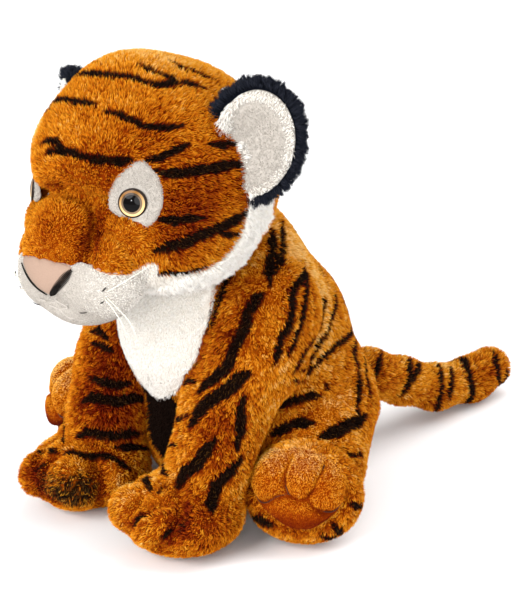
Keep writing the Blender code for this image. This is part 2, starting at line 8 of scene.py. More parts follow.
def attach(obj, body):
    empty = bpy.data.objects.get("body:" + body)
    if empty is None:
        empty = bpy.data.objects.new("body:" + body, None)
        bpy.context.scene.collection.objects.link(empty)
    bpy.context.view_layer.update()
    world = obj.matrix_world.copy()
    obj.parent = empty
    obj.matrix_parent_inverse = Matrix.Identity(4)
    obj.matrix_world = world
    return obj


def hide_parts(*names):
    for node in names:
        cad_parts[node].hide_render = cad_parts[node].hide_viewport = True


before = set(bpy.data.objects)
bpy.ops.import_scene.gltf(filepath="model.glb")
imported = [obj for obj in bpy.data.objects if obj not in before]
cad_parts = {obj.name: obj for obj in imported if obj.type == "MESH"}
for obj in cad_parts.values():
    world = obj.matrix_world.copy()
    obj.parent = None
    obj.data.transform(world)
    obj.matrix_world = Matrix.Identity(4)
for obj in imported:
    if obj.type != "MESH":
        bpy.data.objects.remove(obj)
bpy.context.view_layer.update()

MM = 0.001
rng = np.random.default_rng(11)

# ------------------------------------------------------------------ camera
# World frame as in the CAD, in millimetres: the tiger faces -Y, its left side is +X.
AZIMUTH, ELEVATION, DISTANCE, FOCAL = 49.0, 20.0, 2000.0, 3400.0
AIM = np.array([0.0, 13.0, 116.0])
_a, _e = math.radians(AZIMUTH), math.radians(ELEVATION)
BACK = np.array([math.sin(_a) * math.cos(_e), -math.cos(_a) * math.cos(_e), math.sin(_e)])
RIGHT = np.array([math.cos(_a), math.sin(_a), 0.0])
UP = np.cross(BACK, RIGHT)
EYE_POINT = AIM + BACK * DISTANCE


def rays(pixels):
    p = np.asarray(pixels, float)
    d = -BACK * FOCAL + RIGHT * (p[:, :1] - 260) + UP * (300 - p[:, 1:2])
    return d / np.linalg.norm(d, axis=1, keepdims=True)


def unproject(pixel, depth):
    """The point seen at this pixel, this far in front of the aim point."""
    s = (DISTANCE - depth) / FOCAL
    return AIM + BACK * depth + RIGHT * (pixel[0] - 260) * s + UP * (300 - pixel[1]) * s


def depth_of(point):
    return float((np.asarray(point) - AIM) @ BACK)


# ------------------------------------------------------------------ shape helpers
def ell(P, c, r, rot=None):
    q = P - np.array(c, float)
    if rot is not None:
        q = q @ rot
    r = np.array(r, float)
    k0 = np.linalg.norm(q / r, axis=-1)
    k1 = np.linalg.norm(q / (r * r), axis=-1)
    return k0 * (k0 - 1.0) / np.maximum(k1, 1e-9)


def cone(P, a, b, ra, rb):
    a, b = np.array(a, float), np.array(b, float)
    ba = b - a
    t = np.clip(((P - a) @ ba) / (ba @ ba), 0, 1)
    return np.linalg.norm(P - a - t[..., None] * ba, axis=-1) - (ra + (rb - ra) * t)


def smin(a, b, k):
    h = np.clip(0.5 + 0.5 * (b - a) / k, 0, 1)
    return b + (a - b) * h - k * h * (1 - h)


def smax(a, b, k):
    return -smin(-a, -b, k)


def rx(d):
    c, s = np.cos(np.radians(d)), np.sin(np.radians(d))
    return np.array([[1, 0, 0], [0, c, -s], [0, s, c]])


def ry(d):
    c, s = np.cos(np.radians(d)), np.sin(np.radians(d))
    return np.array([[c, 0, s], [0, 1, 0], [-s, 0, c]])


def rz(d):
    c, s = np.cos(np.radians(d)), np.sin(np.radians(d))
    return np.array([[c, -s, 0], [s, c, 0], [0, 0, 1]])


def unit(v):
    return v / np.maximum(np.linalg.norm(v, axis=-1, keepdims=True), 1e-9)


def grad(f, P, e=0.4):
    return unit(np.stack([f(P + d) - f(P - d) for d in np.eye(3) * e], -1))


def nets(f, lo, hi, h):
    """Surface nets of the zero level of f on a grid of pitch h: points and quads."""
    lo, hi = np.array(lo, float), np.array(hi, float)
    n = np.ceil((hi - lo) / h).astype(int) + 1
    ax = [lo[i] + h * np.arange(n[i]) for i in range(3)]
    grid = np.stack(np.meshgrid(*ax, indexing="ij"), -1)
    F = np.empty(n)
    for i in range(n[0]):
        F[i] = f(grid[i].reshape(-1, 3)).reshape(n[1], n[2])
    F = np.where(np.abs(F) < 1e-6, 1e-6, F)
    S = F < 0
    m = n - 1
    acc, cnt = np.zeros((m[0], m[1], m[2], 3)), np.zeros((m[0], m[1], m[2]), int)
    crossings = []
    for a in range(3):
        s0, s1 = [slice(None)] * 3, [slice(None)] * 3
        s0[a], s1[a] = slice(0, -1), slice(1, None)
        F0, F1 = F[tuple(s0)], F[tuple(s1)]
        idx = np.argwhere(S[tuple(s0)] != S[tuple(s1)])
        t = F0[tuple(idx.T)] / (F0[tuple(idx.T)] - F1[tuple(idx.T)])
        p = idx.astype(float)
        p[:, a] += t
        b, c = [k for k in range(3) if k != a]
        for db in (0, -1):
            for dc in (0, -1):
                q = idx.copy()
                q[:, b] += db
                q[:, c] += dc
                ok = np.all((q >= 0) & (q < m), axis=1)
                np.add.at(acc, tuple(q[ok].T), p[ok])
                np.add.at(cnt, tuple(q[ok].T), 1)
        crossings.append((a, b, c, idx, S[tuple(s0)][tuple(idx.T)]))
    has = cnt > 0
    ids = -np.ones(cnt.shape, int)
    ids[has] = np.arange(has.sum())
    V = acc[has] / cnt[has][:, None] * h + lo
    quads = []
    for a, b, c, idx, inside in crossings:
        ok = np.all([(idx[:, k] > 0) & (idx[:, k] < n[k] - 1) for k in (b, c)], axis=0)
        idx, inside = idx[ok], inside[ok]

        def at(db, dc):
            q = idx.copy()
            q[:, b] += db
            q[:, c] += dc
            return ids[tuple(q.T)]

        q = np.stack([at(-1, -1), at(0, -1), at(0, 0), at(-1, 0)], 1)
        flip = inside if a != 1 else ~inside
        q[~flip] = q[~flip][:, ::-1]
        quads.append(q)
    Q = np.concatenate(quads)
    A, B_, C = V[Q[:, 0]], V[Q[:, 1]], V[Q[:, 2]]
    if np.einsum("ij,ij->i", A, np.cross(B_, C)).sum() + np.einsum("ij,ij->i", A, np.cross(C, V[Q[:, 3]])).sum() < 0:
        Q = Q[:, ::-1]
    for _ in range(2):
        g = np.stack([f(V + d) - f(V - d) for d in np.eye(3) * 0.4], -1) / 0.8
        V = V - g * (f(V) / np.maximum((g * g).sum(1), 0.05))[:, None] * 0.9
    return V, Q


def march(f, start, way, far, steps=90, inward=False):
    """Where rays meet the zero level: from outside by default, or from inside out."""
    start, way = np.broadcast_to(start, way.shape), unit(way)
    if not inward:
        t, best, at = np.zeros(len(way)), np.full(len(way), 1e9), np.zeros(len(way))
        for _ in range(steps):
            v = f(start + way * t[:, None])
            better = v < best
            best[better], at[better] = v[better], t[better]
            going = (v > 0.03) & (t < far)
            if not going.any():
                break
            t = t + np.maximum(v * 0.85, 0.05) * going
        return start + way * at[:, None], best
    grid = np.linspace(0, far, steps)
    n = len(way)
    values = f((start[:, None] + way[:, None] * grid[None, :, None]).reshape(-1, 3)).reshape(n, steps)
    out = values > 0
    first = np.where(out.any(1), out.argmax(1), steps - 1)
    lo, hi = grid[np.maximum(first - 1, 0)], grid[first]
    for _ in range(12):
        mid = (lo + hi) / 2
        v = f(start + way * mid[:, None])
        lo, hi = np.where(v < 0, mid, lo), np.where(v < 0, hi, mid)
    return start + way * hi[:, None], values[:, 0]


def seen(f, pixels):
    """Where these pixels of the photograph lie on a shape."""
    way = rays(pixels)
    return march(f, EYE_POINT + way * 1650, way, 700)[0]


def waves(P, wavelength, seed, count=7):
    """Smooth vector noise, about -1 to 1."""
    g = np.random.default_rng(seed)
    total = np.zeros((len(P), 3))
    for _ in range(count):
        k = unit(g.normal(size=3)) * (2 * np.pi / wavelength) * g.uniform(0.7, 1.5)
        total += np.sin((P @ k)[:, None] + g.uniform(0, 6.28, 3)) * g.uniform(0.5, 1, 3)
    return total / (count * 0.45)


# ------------------------------------------------------------------ the stuffed shapes
HEAD_C, HEAD_R = np.array([0, -68, 212.0]), rz(4) @ ry(-7)


def to_head(P):
    return (np.asarray(P, float) - HEAD_C) @ HEAD_R


def from_head(q):
    return np.asarray(q, float) @ HEAD_R.T + HEAD_C


def head_local(q):
    d = ell(q, (1, 5, -2), (66.5, 65, 65))
    d = smin(d, ell(q, (36, -20, -24), (31, 36, 31)), 12)
    d = smin(d, ell(q, (-33, -20, -24), (28, 35, 31)), 12)
    d = smin(d, ell(q, (3, -12, 27), (42, 37, 42)), 12)
    d = smin(d, ell(q, (0, -27, 17), (46, 40, 34)), 12)
    g = np.array([1 / 1.16, 1, 1])
    m = cone(q * g, np.array((-1, -50, -8)) * g, np.array((-3, -69, -27)) * g, 22.5, 18.6)
    for s in (1, -1):
        m = smin(m, ell(q, (s * 16 + 0.5, -58.6, -43), (24.5, 23.5, 22.5)), 7)
    m = smin(m, ell(q, (0, -69, -40), (20, 17, 14)), 5)
    m = smin(m, ell(q, (-1, -53.5, -59.5), (22, 22, 13)), 6)
    return smin(d, m, 3) - 1


def head(P):
    return head_local(to_head(P))


EARS = {"left": ((71, 14.1, 21.8), rz(33) @ ry(19), 1), "right": ((-72.5, 12.3, 16), rz(-33) @ ry(-26), -1)}
EAR_HALF, EAR_HIGH = 25.3, 33.2


def to_ear(P, side):
    c, R, _ = EARS[side]
    return (to_head(P) - np.array(c, float)) @ R


def from_ear(q, side):
    c, R, _ = EARS[side]
    return from_head(np.asarray(q, float) @ R.T + np.array(c, float))


def ear_local(q, s):
    d = ell(q, (0, 0, 0), (EAR_HALF, 7.0, EAR_HIGH))
    return smax(d, -ell(q, (-3 * s, -10.5, -1), (18.5, 9.5, 24.5)), 3) - 0.8


def ear(P, side):
    return ear_local(to_ear(P, side), EARS[side][2])


def torso(P):
    d = ell(P, (0, 9, 50), (68, 66, 58))
    d = smin(d, ell(P, (0, 0.5, 98), (59, 60, 55)), 20)
    d = smin(d, ell(P, (0, -36, 118), (44, 42, 46)), 20)
    d = smin(d, ell(P, (0, -16.5, 146), (45, 43, 41)), 20)
    return smax(d, -P[..., 2], 5) - 1


def chain(P, pts, s, k):
    d = None
    for a, b in zip(pts, pts[1:]):
        e = cone(P, (a[0] * s, a[1], a[2]), (b[0] * s, b[1], b[2]), a[3], b[3])
        d = e if d is None else smin(d, e, k)
    return d


FORELEG = {
    1: [(46, -26, 131, 27), (52, -39, 110, 23.5), (45, -51, 81, 22.8), (49, -67, 52, 22.5)],
    -1: [(45, -27, 131, 27), (50, -40, 110, 25), (52.5, -52, 80, 21.5), (45, -67, 52, 22.5)],
}
PAWS = {1: ((44.5, -85.5, 22.6), (34.5, 34, 21)), -1: ((-42, -84.5, 22), (30.5, 37.5, 20.5))}


def foreleg(P, s):
    d = smin(chain(P, FORELEG[s], s, 8), ell(P, *PAWS[s]), 14)
    return smax(d, -P[..., 2], 4) - 1


FEET = {1: (np.array([85.0, -27.5, 32]), 40), -1: (np.array([-97.5, -40, 36]), -40)}
FOOT_TILT = -5.0


def hindleg(P, s):
    d = chain(P, [(38, 16, 50, 38), (64, -4, 38, 30)], s, 8)
    d = smin(d, ell(P, FEET[s][0], (32, 21.5, 28.5), rz(FEET[s][1]) @ rx(FOOT_TILT)), 6)
    return smax(d, -P[..., 2], 4) - 1


TAIL = [(0, 74, 48, 15), (0, 100, 47.5, 12), (-4, 132, 33.5, 11.2), (-8, 165, 19, 11.2), (-12, 200, 14, 11.4), (-14, 219, 17, 11)]


def tail(P):
    return chain(P, TAIL, 1, 8) - 1


SIDE = {"left": 1, "right": -1}
FIELDS = {"head": head, "torso": torso, "tail": tail}
for _n, _s in SIDE.items():
    FIELDS["foreleg_" + _n] = lambda P, s=_s: foreleg(P, s)
    FIELDS["hindleg_" + _n] = lambda P, s=_s: hindleg(P, s)
    FIELDS["ear_" + _n] = lambda P, n=_n: ear(P, n)
BODY = {"head": "head", "torso": "torso", "tail": "tail"}
for _n in SIDE:
    for _k in ("foreleg_", "hindleg_", "ear_"):
        BODY[_k + _n] = _k + _n

# ------------------------------------------------------------------ lines read off the photograph
# Each stripe: the part it is on, its width in pixels, and the line it follows.
STRIPES = [
    ("head", 5, [(75, 79), (84, 76), (95, 75.6), (111, 77.6), (127, 78), (139, 81), (151, 85.6), (163, 87.6), (175, 85), (187, 84.4), (195, 86.4), (203, 89)]),
    ("head", 4.5, [(139, 81), (151, 84), (163, 85), (175, 84.5), (187, 84.4)]),
    ("head", 2.5, [(89, 66), (97, 64)]),
    ("head", 4, [(138, 66), (147, 70), (159, 75.6), (173, 81), (178, 84)]),
    ("head", 4.5, [(169, 63), (179, 68), (191, 72), (203, 77), (215, 83)]),
    ("head", 2.5, [(175, 55), (185, 57), (195, 60)]),
    ("head", 5, [(41, 118), (51, 110), (55, 104), (65, 101), (77, 103), (87, 105), (96, 105.6)]),
    ("head", 5.5, [(105, 113), (119, 116), (131, 121), (143, 127), (155, 127.6), (167, 128), (181, 125.6)]),
    ("head", 6.5, [(41, 160), (51, 154), (61, 152), (73, 154.4), (85, 158.4), (97, 161), (109, 161), (121, 161.6), (131, 160)]),
    ("head", 5.5, [(42, 147), (49, 143), (57, 143), (63, 149), (72, 154)]),
    ("head", 6, [(146, 160), (159, 158), (171, 152), (179, 148), (188, 145)]),
    ("head", 7.5, [(155, 170), (167, 174), (183, 172), (195, 170), (207, 169), (219, 167), (231, 164), (241, 165)]),
    ("head", 6.5, [(208, 145), (219, 145), (233, 143)]),
    ("head", 5, [(213, 100), (220, 108)]),
    ("head", 4, [(224, 117), (228, 123)]),
    ("head", 7, [(159, 220), (173, 221), (185, 219), (203, 218)]),
    ("head", 8.5, [(155, 250), (169, 246), (183, 243), (195, 237), (205, 233), (217, 228), (227, 223), (237, 218), (246, 211)]),
    ("head", 5, [(215, 232), (227, 234), (237, 233)]),
    ("head", 4, [(153, 273), (167, 271), (181, 272), (195, 268), (205, 265)]),
    ("head", 3.5, [(30, 163), (32, 168)]),
    ("head", 3.5, [(30, 188), (32, 192)]),
    ("foreleg_left", 6.5, [(232, 275), (226, 283), (224, 293), (220, 303), (216, 313), (213, 321), (210, 331)]),
    ("foreleg_left", 3, [(233, 262), (240, 265), (246, 259)]),
    ("foreleg_left", 7, [(264, 293), (256, 298), (252, 307), (248, 315), (245, 327), (240, 335), (236, 345), (232, 355), (228, 365), (218, 375), (208, 383), (200, 391)]),
    ("foreleg_left", 9, [(250, 371), (240, 377), (230, 387), (218, 395), (208, 403), (200, 411), (192, 425)]),
    ("foreleg_left", 5, [(182, 367), (190, 366), (200, 363)]),
    ("foreleg_left", 5, [(181, 380), (188, 382), (197, 381)]),
    ("foreleg_left", 4, [(175, 417), (180, 419), (190, 415)]),
    ("foreleg_left", 4, [(169, 445), (178, 444)]),
    ("foreleg_left", 7, [(244, 395), (240, 415), (240, 431), (236, 449)]),
    ("foreleg_left", 8, [(215, 440), (205, 452), (197, 464), (185, 472), (179, 484), (179, 496), (183, 510), (181, 524), (171, 534), (163, 542)]),
    ("foreleg_left", 8, [(241, 456), (229, 472), (217, 484), (214, 494), (211, 504), (210, 514)]),
    ("foreleg_left", 6, [(143, 468), (147, 480), (152, 490)]),
    ("foreleg_left", 4, [(165, 462), (166, 472), (170, 475)]),
    ("foreleg_left", 3, [(159, 492), (165, 486)]),
    ("foreleg_left", 6, [(171, 501), (157, 505), (145, 512), (135, 522), (129, 532)]),
    ("foreleg_left", 6, [(111, 492), (117, 498)]),
    ("foreleg_left", 6, [(225, 542), (211, 552), (197, 555)]),
    ("foreleg_right", 6, [(93, 378), (105, 382), (117, 385), (129, 382)]),
    ("foreleg_right", 7, [(84, 402), (93, 397), (105, 399), (119, 401), (133, 397), (145, 398)]),
    ("foreleg_right", 7, [(79, 437), (89, 431), (101, 433), (115, 435), (129, 432), (145, 430)]),
    ("foreleg_right", 5, [(61, 456), (71, 453), (85, 456), (101, 455), (113, 458), (123, 466), (129, 472)]),
    ("foreleg_right", 7, [(117, 448), (129, 446), (145, 448)]),
    ("foreleg_right", 6, [(35, 470), (41, 464), (48, 462)]),
    ("foreleg_right", 5, [(67, 408), (65, 418), (63, 432), (65, 442)]),
    ("foreleg_right", 5, [(35, 452), (49, 450), (59, 451)]),
    ("foreleg_right", 6, [(93, 330), (101, 330), (109, 338)]),
    ("foreleg_right", 6, [(94, 342), (105, 346), (114, 351)]),
    ("torso", 7, [(272, 230), (272, 239), (272, 255), (269, 271), (270, 285)]),
    ("torso", 4.5, [(280, 221), (281, 235), (282, 251), (279, 263), (274, 273)]),
    ("torso", 5, [(304, 261), (304, 275), (296, 283), (291, 293), (291, 307), (290, 323), (284, 333), (278, 341)]),
    ("torso", 6, [(280, 335), (278, 351), (274, 363)]),
    ("torso", 3.5, [(304, 275), (305, 283), (305, 295), (302, 311), (300, 323), (296, 335), (292, 345), (288, 355)]),
    ("torso", 3, [(313, 256), (320, 275)]),
    ("torso", 3, [(324, 291), (324, 303), (320, 315), (318, 327), (312, 339), (304, 351), (298, 363), (292, 372)]),
    ("torso", 3, [(333, 295), (333, 307), (330, 319), (328, 331), (320, 341), (314, 351), (308, 361), (300, 371)]),
    ("torso", 4, [(340, 299), (346, 309), (349, 319), (349, 331), (340, 341), (334, 345), (326, 353), (318, 361), (308, 371), (300, 379)]),
    ("torso", 4, [(357, 326), (357, 333)]),
    ("torso", 4, [(349, 345), (351, 350)]),
    ("torso", 4, [(353, 339), (352, 353), (357, 365), (358, 379), (358, 395), (356, 407)]),
    ("torso", 3, [(360, 351), (364, 365), (367, 385), (369, 399)]),
    ("torso", 6, [(280, 407), (288, 401), (300, 398), (312, 395), (320, 395)]),
    ("torso", 8, [(272, 433), (282, 430), (292, 425), (304, 422), (313, 422)]),
    ("torso", 8, [(320, 437), (330, 434), (338, 431), (346, 425), (358, 421), (364, 415)]),
    ("torso", 11, [(356, 408), (359, 417)]),
    ("hindleg_left", 4, [(358, 379), (358, 395), (356, 407)]),
    ("hindleg_left", 3, [(367, 385), (369, 399)]),
    ("hindleg_left", 6, [(347, 455), (361, 454)]),
    ("torso", 6, [(293, 379), (304, 380)]),
    ("torso", 8, [(325, 384), (327, 387)]),
    ("torso", 4, [(320, 359), (326, 358)]),
    ("hindleg_left", 7, [(243, 510), (252, 515), (262, 520), (275, 526)]),
    ("hindleg_left", 6, [(332, 523), (338, 529), (343, 533)]),
    ("hindleg_left", 7, [(322, 534), (330, 537), (342, 530)]),
    ("hindleg_left", 5, [(350, 502), (356, 505), (361, 504)]),
    ("tail", 4, [(380, 352), (378, 362), (375, 372), (372, 381)]),
    ("tail", 6, [(409, 360), (408, 370), (409, 378), (405, 386), (400, 394)]),
    ("tail", 5, [(418, 362), (415, 372), (410, 382)]),
    ("tail", 4, [(437, 366), (439, 376), (439, 390), (437, 402), (435, 411)]),
    ("tail", 4.5, [(449, 369), (450, 378), (449, 390), (448, 399)]),
    ("tail", 6, [(453, 361), (463, 361), (465, 370), (468, 380), (470, 390), (468, 400), (464, 407)]),
    ("tail", 5, [(493, 353), (494, 364), (496, 376), (498, 388)]),
    ("tail", 5, [(505, 368), (504, 378), (498, 388), (493, 397)]),
    ("tail", 6, [(500, 347), (503, 350)]),
    ("tail", 5, [(373, 395), (376, 396)]),
    ("tail", 5, [(406, 405), (409, 407)]),
    ("tail", 4, [(392, 350), (395, 352)]),
]
# Painted light and shade: patches of pile painted darker where the nap shows shaded and paler where it shows lit: part,
# pixel, radius in mm, darker (-) or paler (+).
PAINTED_LIGHT_ZONES = [
    ("head", (203, 192), 20, -0.28), ("head", (185, 232), 15, -0.34), ("head", (168, 205), 9, -0.15), ("head", (90, 240), 9, -0.28),
    ("head", (75, 175), 14, -0.06), ("head", (60, 228), 14, -0.1), ("head", (120, 92), 26, -0.06), ("head", (150, 140), 18, -0.14), ("head", (150, 56), 22, 0.2),
    ("head", (36, 130), 12, 0.4), ("head", (210, 90), 16, 0.05), ("head", (122, 245), 12, -0.04), ("head", (190, 262), 12, 0.0), ("head", (105, 178), 10, -0.1),
    ("foreleg_left", (222, 345), 15, -0.3), ("foreleg_left", (226, 415), 15, -0.22), ("foreleg_left", (212, 445), 14, -0.2), ("foreleg_left", (200, 520), 18, -0.28),
    ("foreleg_left", (272, 370), 13, 0.1), ("foreleg_left", (270, 410), 11, 0.1), ("foreleg_left", (240, 300), 16, -0.1), ("foreleg_left", (135, 500), 14, 0.12), ("foreleg_left", (185, 400), 10, 0.12),
    ("foreleg_right", (108, 365), 18, -0.4), ("foreleg_right", (110, 415), 20, -0.42), ("foreleg_right", (85, 395), 12, -0.1), ("foreleg_right", (66, 380), 7, 0.1),
    ("foreleg_right", (30, 480), 14, -0.16), ("foreleg_right", (110, 478), 10, 0.1), ("torso", (290, 250), 22, 0.42), ("torso", (318, 300), 20, 0.24), ("torso", (312, 345), 16, 0.3),
    ("torso", (345, 340), 14, 0.0), ("hindleg_left", (298, 410), 13, -0.2), ("hindleg_left", (336, 405), 12, 0.22), ("hindleg_left", (358, 440), 12, 0.14),
    ("hindleg_left", (300, 450), 12, 0.1), ("tail", (430, 403), 12, -0.1), ("tail", (490, 375), 12, -0.22), ("tail", (430, 364), 12, 0.22), ("tail", (395, 372), 12, -0.1),
]


def rise_to(x, low, high):
    u = np.clip((x - low) / (high - low), 0, 1)
    return u * u * (3 - 2 * u)


def melted(part, P, off=0.0):
    """Where one stuffed piece runs into the next without a crease: how far the skin is lifted, and how much it counts."""
    lift, share = np.zeros(len(P)), np.zeros(len(P))
    others = [n for n in FIELDS if n.startswith(("foreleg", "hindleg")) or n == "tail"] if part == "torso" else ["torso"]
    if part.startswith(("head", "ear")):
        return lift, share
    for other in others:
        limb = other if part == "torso" else part
        s = -1 if limb.endswith("right") else 1
        if limb.startswith("foreleg"):
            k, w = 24.0, rise_to(P[:, 2], 74, 100) * rise_to(P[:, 1], -66, -46) * rise_to(P[:, 0] * s, 24, 36)
        elif limb.startswith("hindleg"):
            k, w = 18.0, rise_to(P[:, 2], 46, 62) * rise_to(P[:, 0] * s, 30, 44) * rise_to(P[:, 1], -34, -18)
        else:
            k, w = 9.0, np.ones(len(P))
        g = FIELDS[other](P) - off
        h = np.clip(0.5 + 0.5 * g / k, 0, 1)
        lift = np.maximum(lift, k * h * (1 - h) * w)
        share = np.maximum(share, w * np.clip(1.4 - np.abs(g) / k, 0, 1))
    return lift, share


def run_together(part):
    """The part's shape with the lift where it runs into its neighbours."""

    def field(P):
        own = FIELDS[part](P)
        return own - melted(part, P, own)[0]

    return field


def lines_of(part):
    """The part's stripes as segments in space: starts, ends and half-widths at each."""
    mine = [(width, pts) for name, width, pts in STRIPES if name == part]
    if not mine:
        return None
    # the flank's stripes run on over the top of the left legs
    over = ("torso", "foreleg_left", "hindleg_left") if part == "torso" else (part,)
    everything = seen(lambda P: np.minimum.reduce([run_together(n)(P) for n in over]), [p for _, pts in mine for p in pts])
    A, B, wa, wb, at = [], [], [], [], 0
    for width, pts in mine:
        P = everything[at : at + len(pts)]
        at += len(pts)
        w = np.full(len(pts), width / 1.72 / 2 * (1.05 if part == "head" else 1.3) + (0.4 if part == "head" else 0.55))
        w[0] *= 0.4
        w[-1] *= 0.4
        A.append(P[:-1]), B.append(P[1:]), wa.append(w[:-1]), wb.append(w[1:])
    return [np.concatenate(x) for x in (A, B, wa, wb)]


def mirrored(lines, how):
    return [how(lines[0]), how(lines[1]), lines[2], lines[3]]


def joined(*sets):
    sets = [s for s in sets if s is not None]
    return [np.concatenate([s[i] for s in sets]) for i in range(4)] if sets else None


def off_lines(P, lines):
    """Distance to the nearest stripe's edge, negative inside it."""
    out = np.full(len(P), 99.0)
    if lines is None:
        return out
    A, B, wa, wb = lines
    AB = B - A
    size = np.maximum((AB * AB).sum(1), 1e-6)
    for i in range(0, len(P), 6000):
        p = P[i : i + 6000, None]
        t = np.clip(((p - A) * AB).sum(-1) / size, 0, 1)
        d = np.linalg.norm(p - A - t[..., None] * AB, axis=-1) - (wa + (wb - wa) * t)
        out[i : i + 6000] = d.min(1)
    return out


def back_lines():
    """Stripes over the back, which the photograph doesn't show, in the manner of those on the flank."""
    sets = []
    for i, z in enumerate((172, 160, 147, 134, 121, 108, 95, 82, 68, 54)):
        for s in (1, -1):
            reach = (38, 46, 40, 48, 42, 50, 44, 48, 40, 36)[i]
            early, late = 2 + 7 * np.sin(i * 4.3 + s) ** 2, reach + 9 * np.sin(i * 2.9 + 2 * s)
            angle = np.radians(np.linspace(early, late, 7) * s)
            way = np.stack([np.sin(angle), np.cos(angle), np.zeros(7)], 1)
            drop = -10 * (np.abs(angle) / 0.8) ** 1.5 * (1 + 0.3 * np.sin(i * 2.1 + s)) + 3.5 * np.sin(i * 3.7 + s * 1.3) + 2.2 * np.sin(np.linspace(0, 5, 7) + i * 2 + s)
            start = np.array([0, -5.0, z]) + np.array([0, 0, 1.0]) * drop[:, None]
            P = march(run_together("torso"), start, way, 110, inward=True)[0]
            w = np.array([0.8, 1.5, 1.9, 1.9, 1.7, 1.3, 0.5]) * (1 + 0.25 * np.sin(i * 1.7))
            sets.append([P[:-1], P[1:], w[:-1], w[1:]])
    return joined(*sets)


def crown_lines():
    """Stripes over the back of the head."""
    sets = []
    for i, (high, low) in enumerate(((64, 60), (46, 40), (28, 20), (10, 2), (-8, -18), (-26, -38))):
        for s in (1, -1):
            angle = np.radians(np.linspace(5, 58 if i % 2 else 48, 7) * s)
            e = np.radians(np.linspace(high, low, 7) + 3 * np.sin(np.linspace(0, 4, 7) + i + s))
            way = np.stack([np.sin(angle) * np.cos(e), np.cos(angle) * np.cos(e), np.sin(e)], 1)
            q = march(head_local, np.zeros(3), way, 110, inward=True)[0]
            w = np.array([0.8, 1.6, 2.0, 2.0, 1.8, 1.4, 0.5])
            P = from_head(q)
            sets.append([P[:-1], P[1:], w[:-1], w[1:]])
    return joined(*sets)


def flip_x(P):
    return P * np.array([-1, 1, 1])


def flip_head(P):
    return from_head(to_head(P) * np.array([-1, 1, 1]))


def flip_tail(P):
    middle = np.interp(P[:, 1], [t[1] for t in TAIL], [t[0] for t in TAIL])
    Q = P.copy()
    Q[:, 0] = 2 * middle - P[:, 0]
    return Q


direct = {part: lines_of(part) for part in FIELDS}
for _limb in ("foreleg_left", "hindleg_left"):
    direct[_limb] = joined(direct[_limb], direct["torso"])
unseen = {
    "head": joined(mirrored(direct["head"], flip_head), crown_lines()),
    "torso": joined(mirrored(direct["torso"], flip_x), back_lines()),
    "tail": mirrored(direct["tail"], flip_tail),
    "foreleg_left": mirrored(direct["foreleg_right"], flip_x),
    "foreleg_right": mirrored(direct["foreleg_left"], flip_x),
    "hindleg_left": mirrored(direct["hindleg_left"], lambda P: P * np.array([1, -1, 1]) + np.array([0, 20, 0])),
    "hindleg_right": mirrored(direct["hindleg_left"], flip_x),
}

# Sewn creases: part, depth and half-width in mm, and the line in pixels.
SOLE_EDGE = [(258, 456), (270, 450), (283, 449), (296, 447), (310, 449), (323, 455), (336, 463), (345, 476), (348, 490), (346, 503), (339, 514), (326, 524), (312, 530), (298, 530), (283, 526), (268, 517), (256, 505), (250, 492), (248, 476), (251, 465)]
CREASES = [
    ("head", 7.5, 4.2, [(37, 196), (48, 190), (61, 188), (76, 193), (86, 200), (93, 209)]),
    ("head", 6.5, 4.0, [(93, 209), (96, 222), (94, 238), (90, 250), (84, 262)]),
    ("head", 1.8, 2.4, [(50, 303), (60, 308), (70, 316), (85, 319), (92, 320)]),
    ("hindleg_left", 3.0, 1.6, [(292, 457), (288, 467), (285.5, 476), (285, 486), (288, 494)]),
    ("hindleg_left", 3.0, 1.6, [(325, 464), (321, 474), (317, 481), (315, 488)]),
    ("hindleg_left", 2.8, 1.6, [(288, 494), (297, 500), (307, 499), (315, 488)]),
    ("hindleg_left", 2.6, 1.6, [(251, 487), (258, 501), (266, 503), (276, 497), (288, 494)]),
    ("hindleg_left", 2.6, 1.6, [(307, 499), (313, 507), (323, 512), (334, 512), (343, 503)]),
    ("hindleg_left", 4.5, 2.6, [(249, 468), (249, 480), (252, 494), (258, 507), (269, 518), (283, 527), (298, 531), (312, 531), (326, 525), (339, 515), (346, 504), (347, 492)]),
    ("foreleg_left", 5.0, 4.6, [(174, 500), (157, 505), (145, 512), (135, 522), (125, 536)]),
    ("foreleg_left", 5.0, 5.0, [(179, 490), (183, 510), (181, 524), (171, 538), (158, 550)]),
    ("foreleg_right", 5.0, 4.6, [(56, 456), (45, 468), (41, 482), (45, 503)]),
    ("foreleg_right", 4.5, 4.4, [(98, 462), (104, 476), (102, 492), (98, 508)]),
]
# Stuffed lobes: part, height and radius in mm, and the centre in pixels.
LOBES = [
    ("hindleg_left", 3.2, 13, (268, 476)), ("hindleg_left", 3.4, 12, (304, 474)), ("hindleg_left", 3.2, 12, (331, 490)), ("hindleg_left", 2.6, 15, (300, 514)),
    ("foreleg_left", 3.0, 14, (124, 503)), ("foreleg_left", 3.0, 15, (149, 531)), ("foreleg_left", 2.5, 18, (206, 535)),
    ("foreleg_right", 1.8, 13, (32, 478)), ("foreleg_right", 3.0, 15, (72, 486)), ("foreleg_right", 2.5, 13, (116, 482)),
    ("head", 5.0, 18, (124, 244)), ("head", 4.4, 20, (60, 224)), ("head", 2.4, 15, (72, 172)), ("head", 2.0, 14, (42, 172)),
]
creases = {part: [] for part in FIELDS}
lobes = {part: [] for part in FIELDS}


def to_right_foot(P):
    return flip_x(P) - FEET[1][0] * np.array([-1, 1, 1]) + FEET[-1][0]


def to_other(part, P):
    """A place on one side, moved to the same place on the other."""
    if part == "head":
        return part, flip_head(P)
    other = part.replace("left", "RIGHT").replace("right", "left").replace("RIGHT", "right")
    return other, to_right_foot(P) if other == "hindleg_right" else flip_x(P)


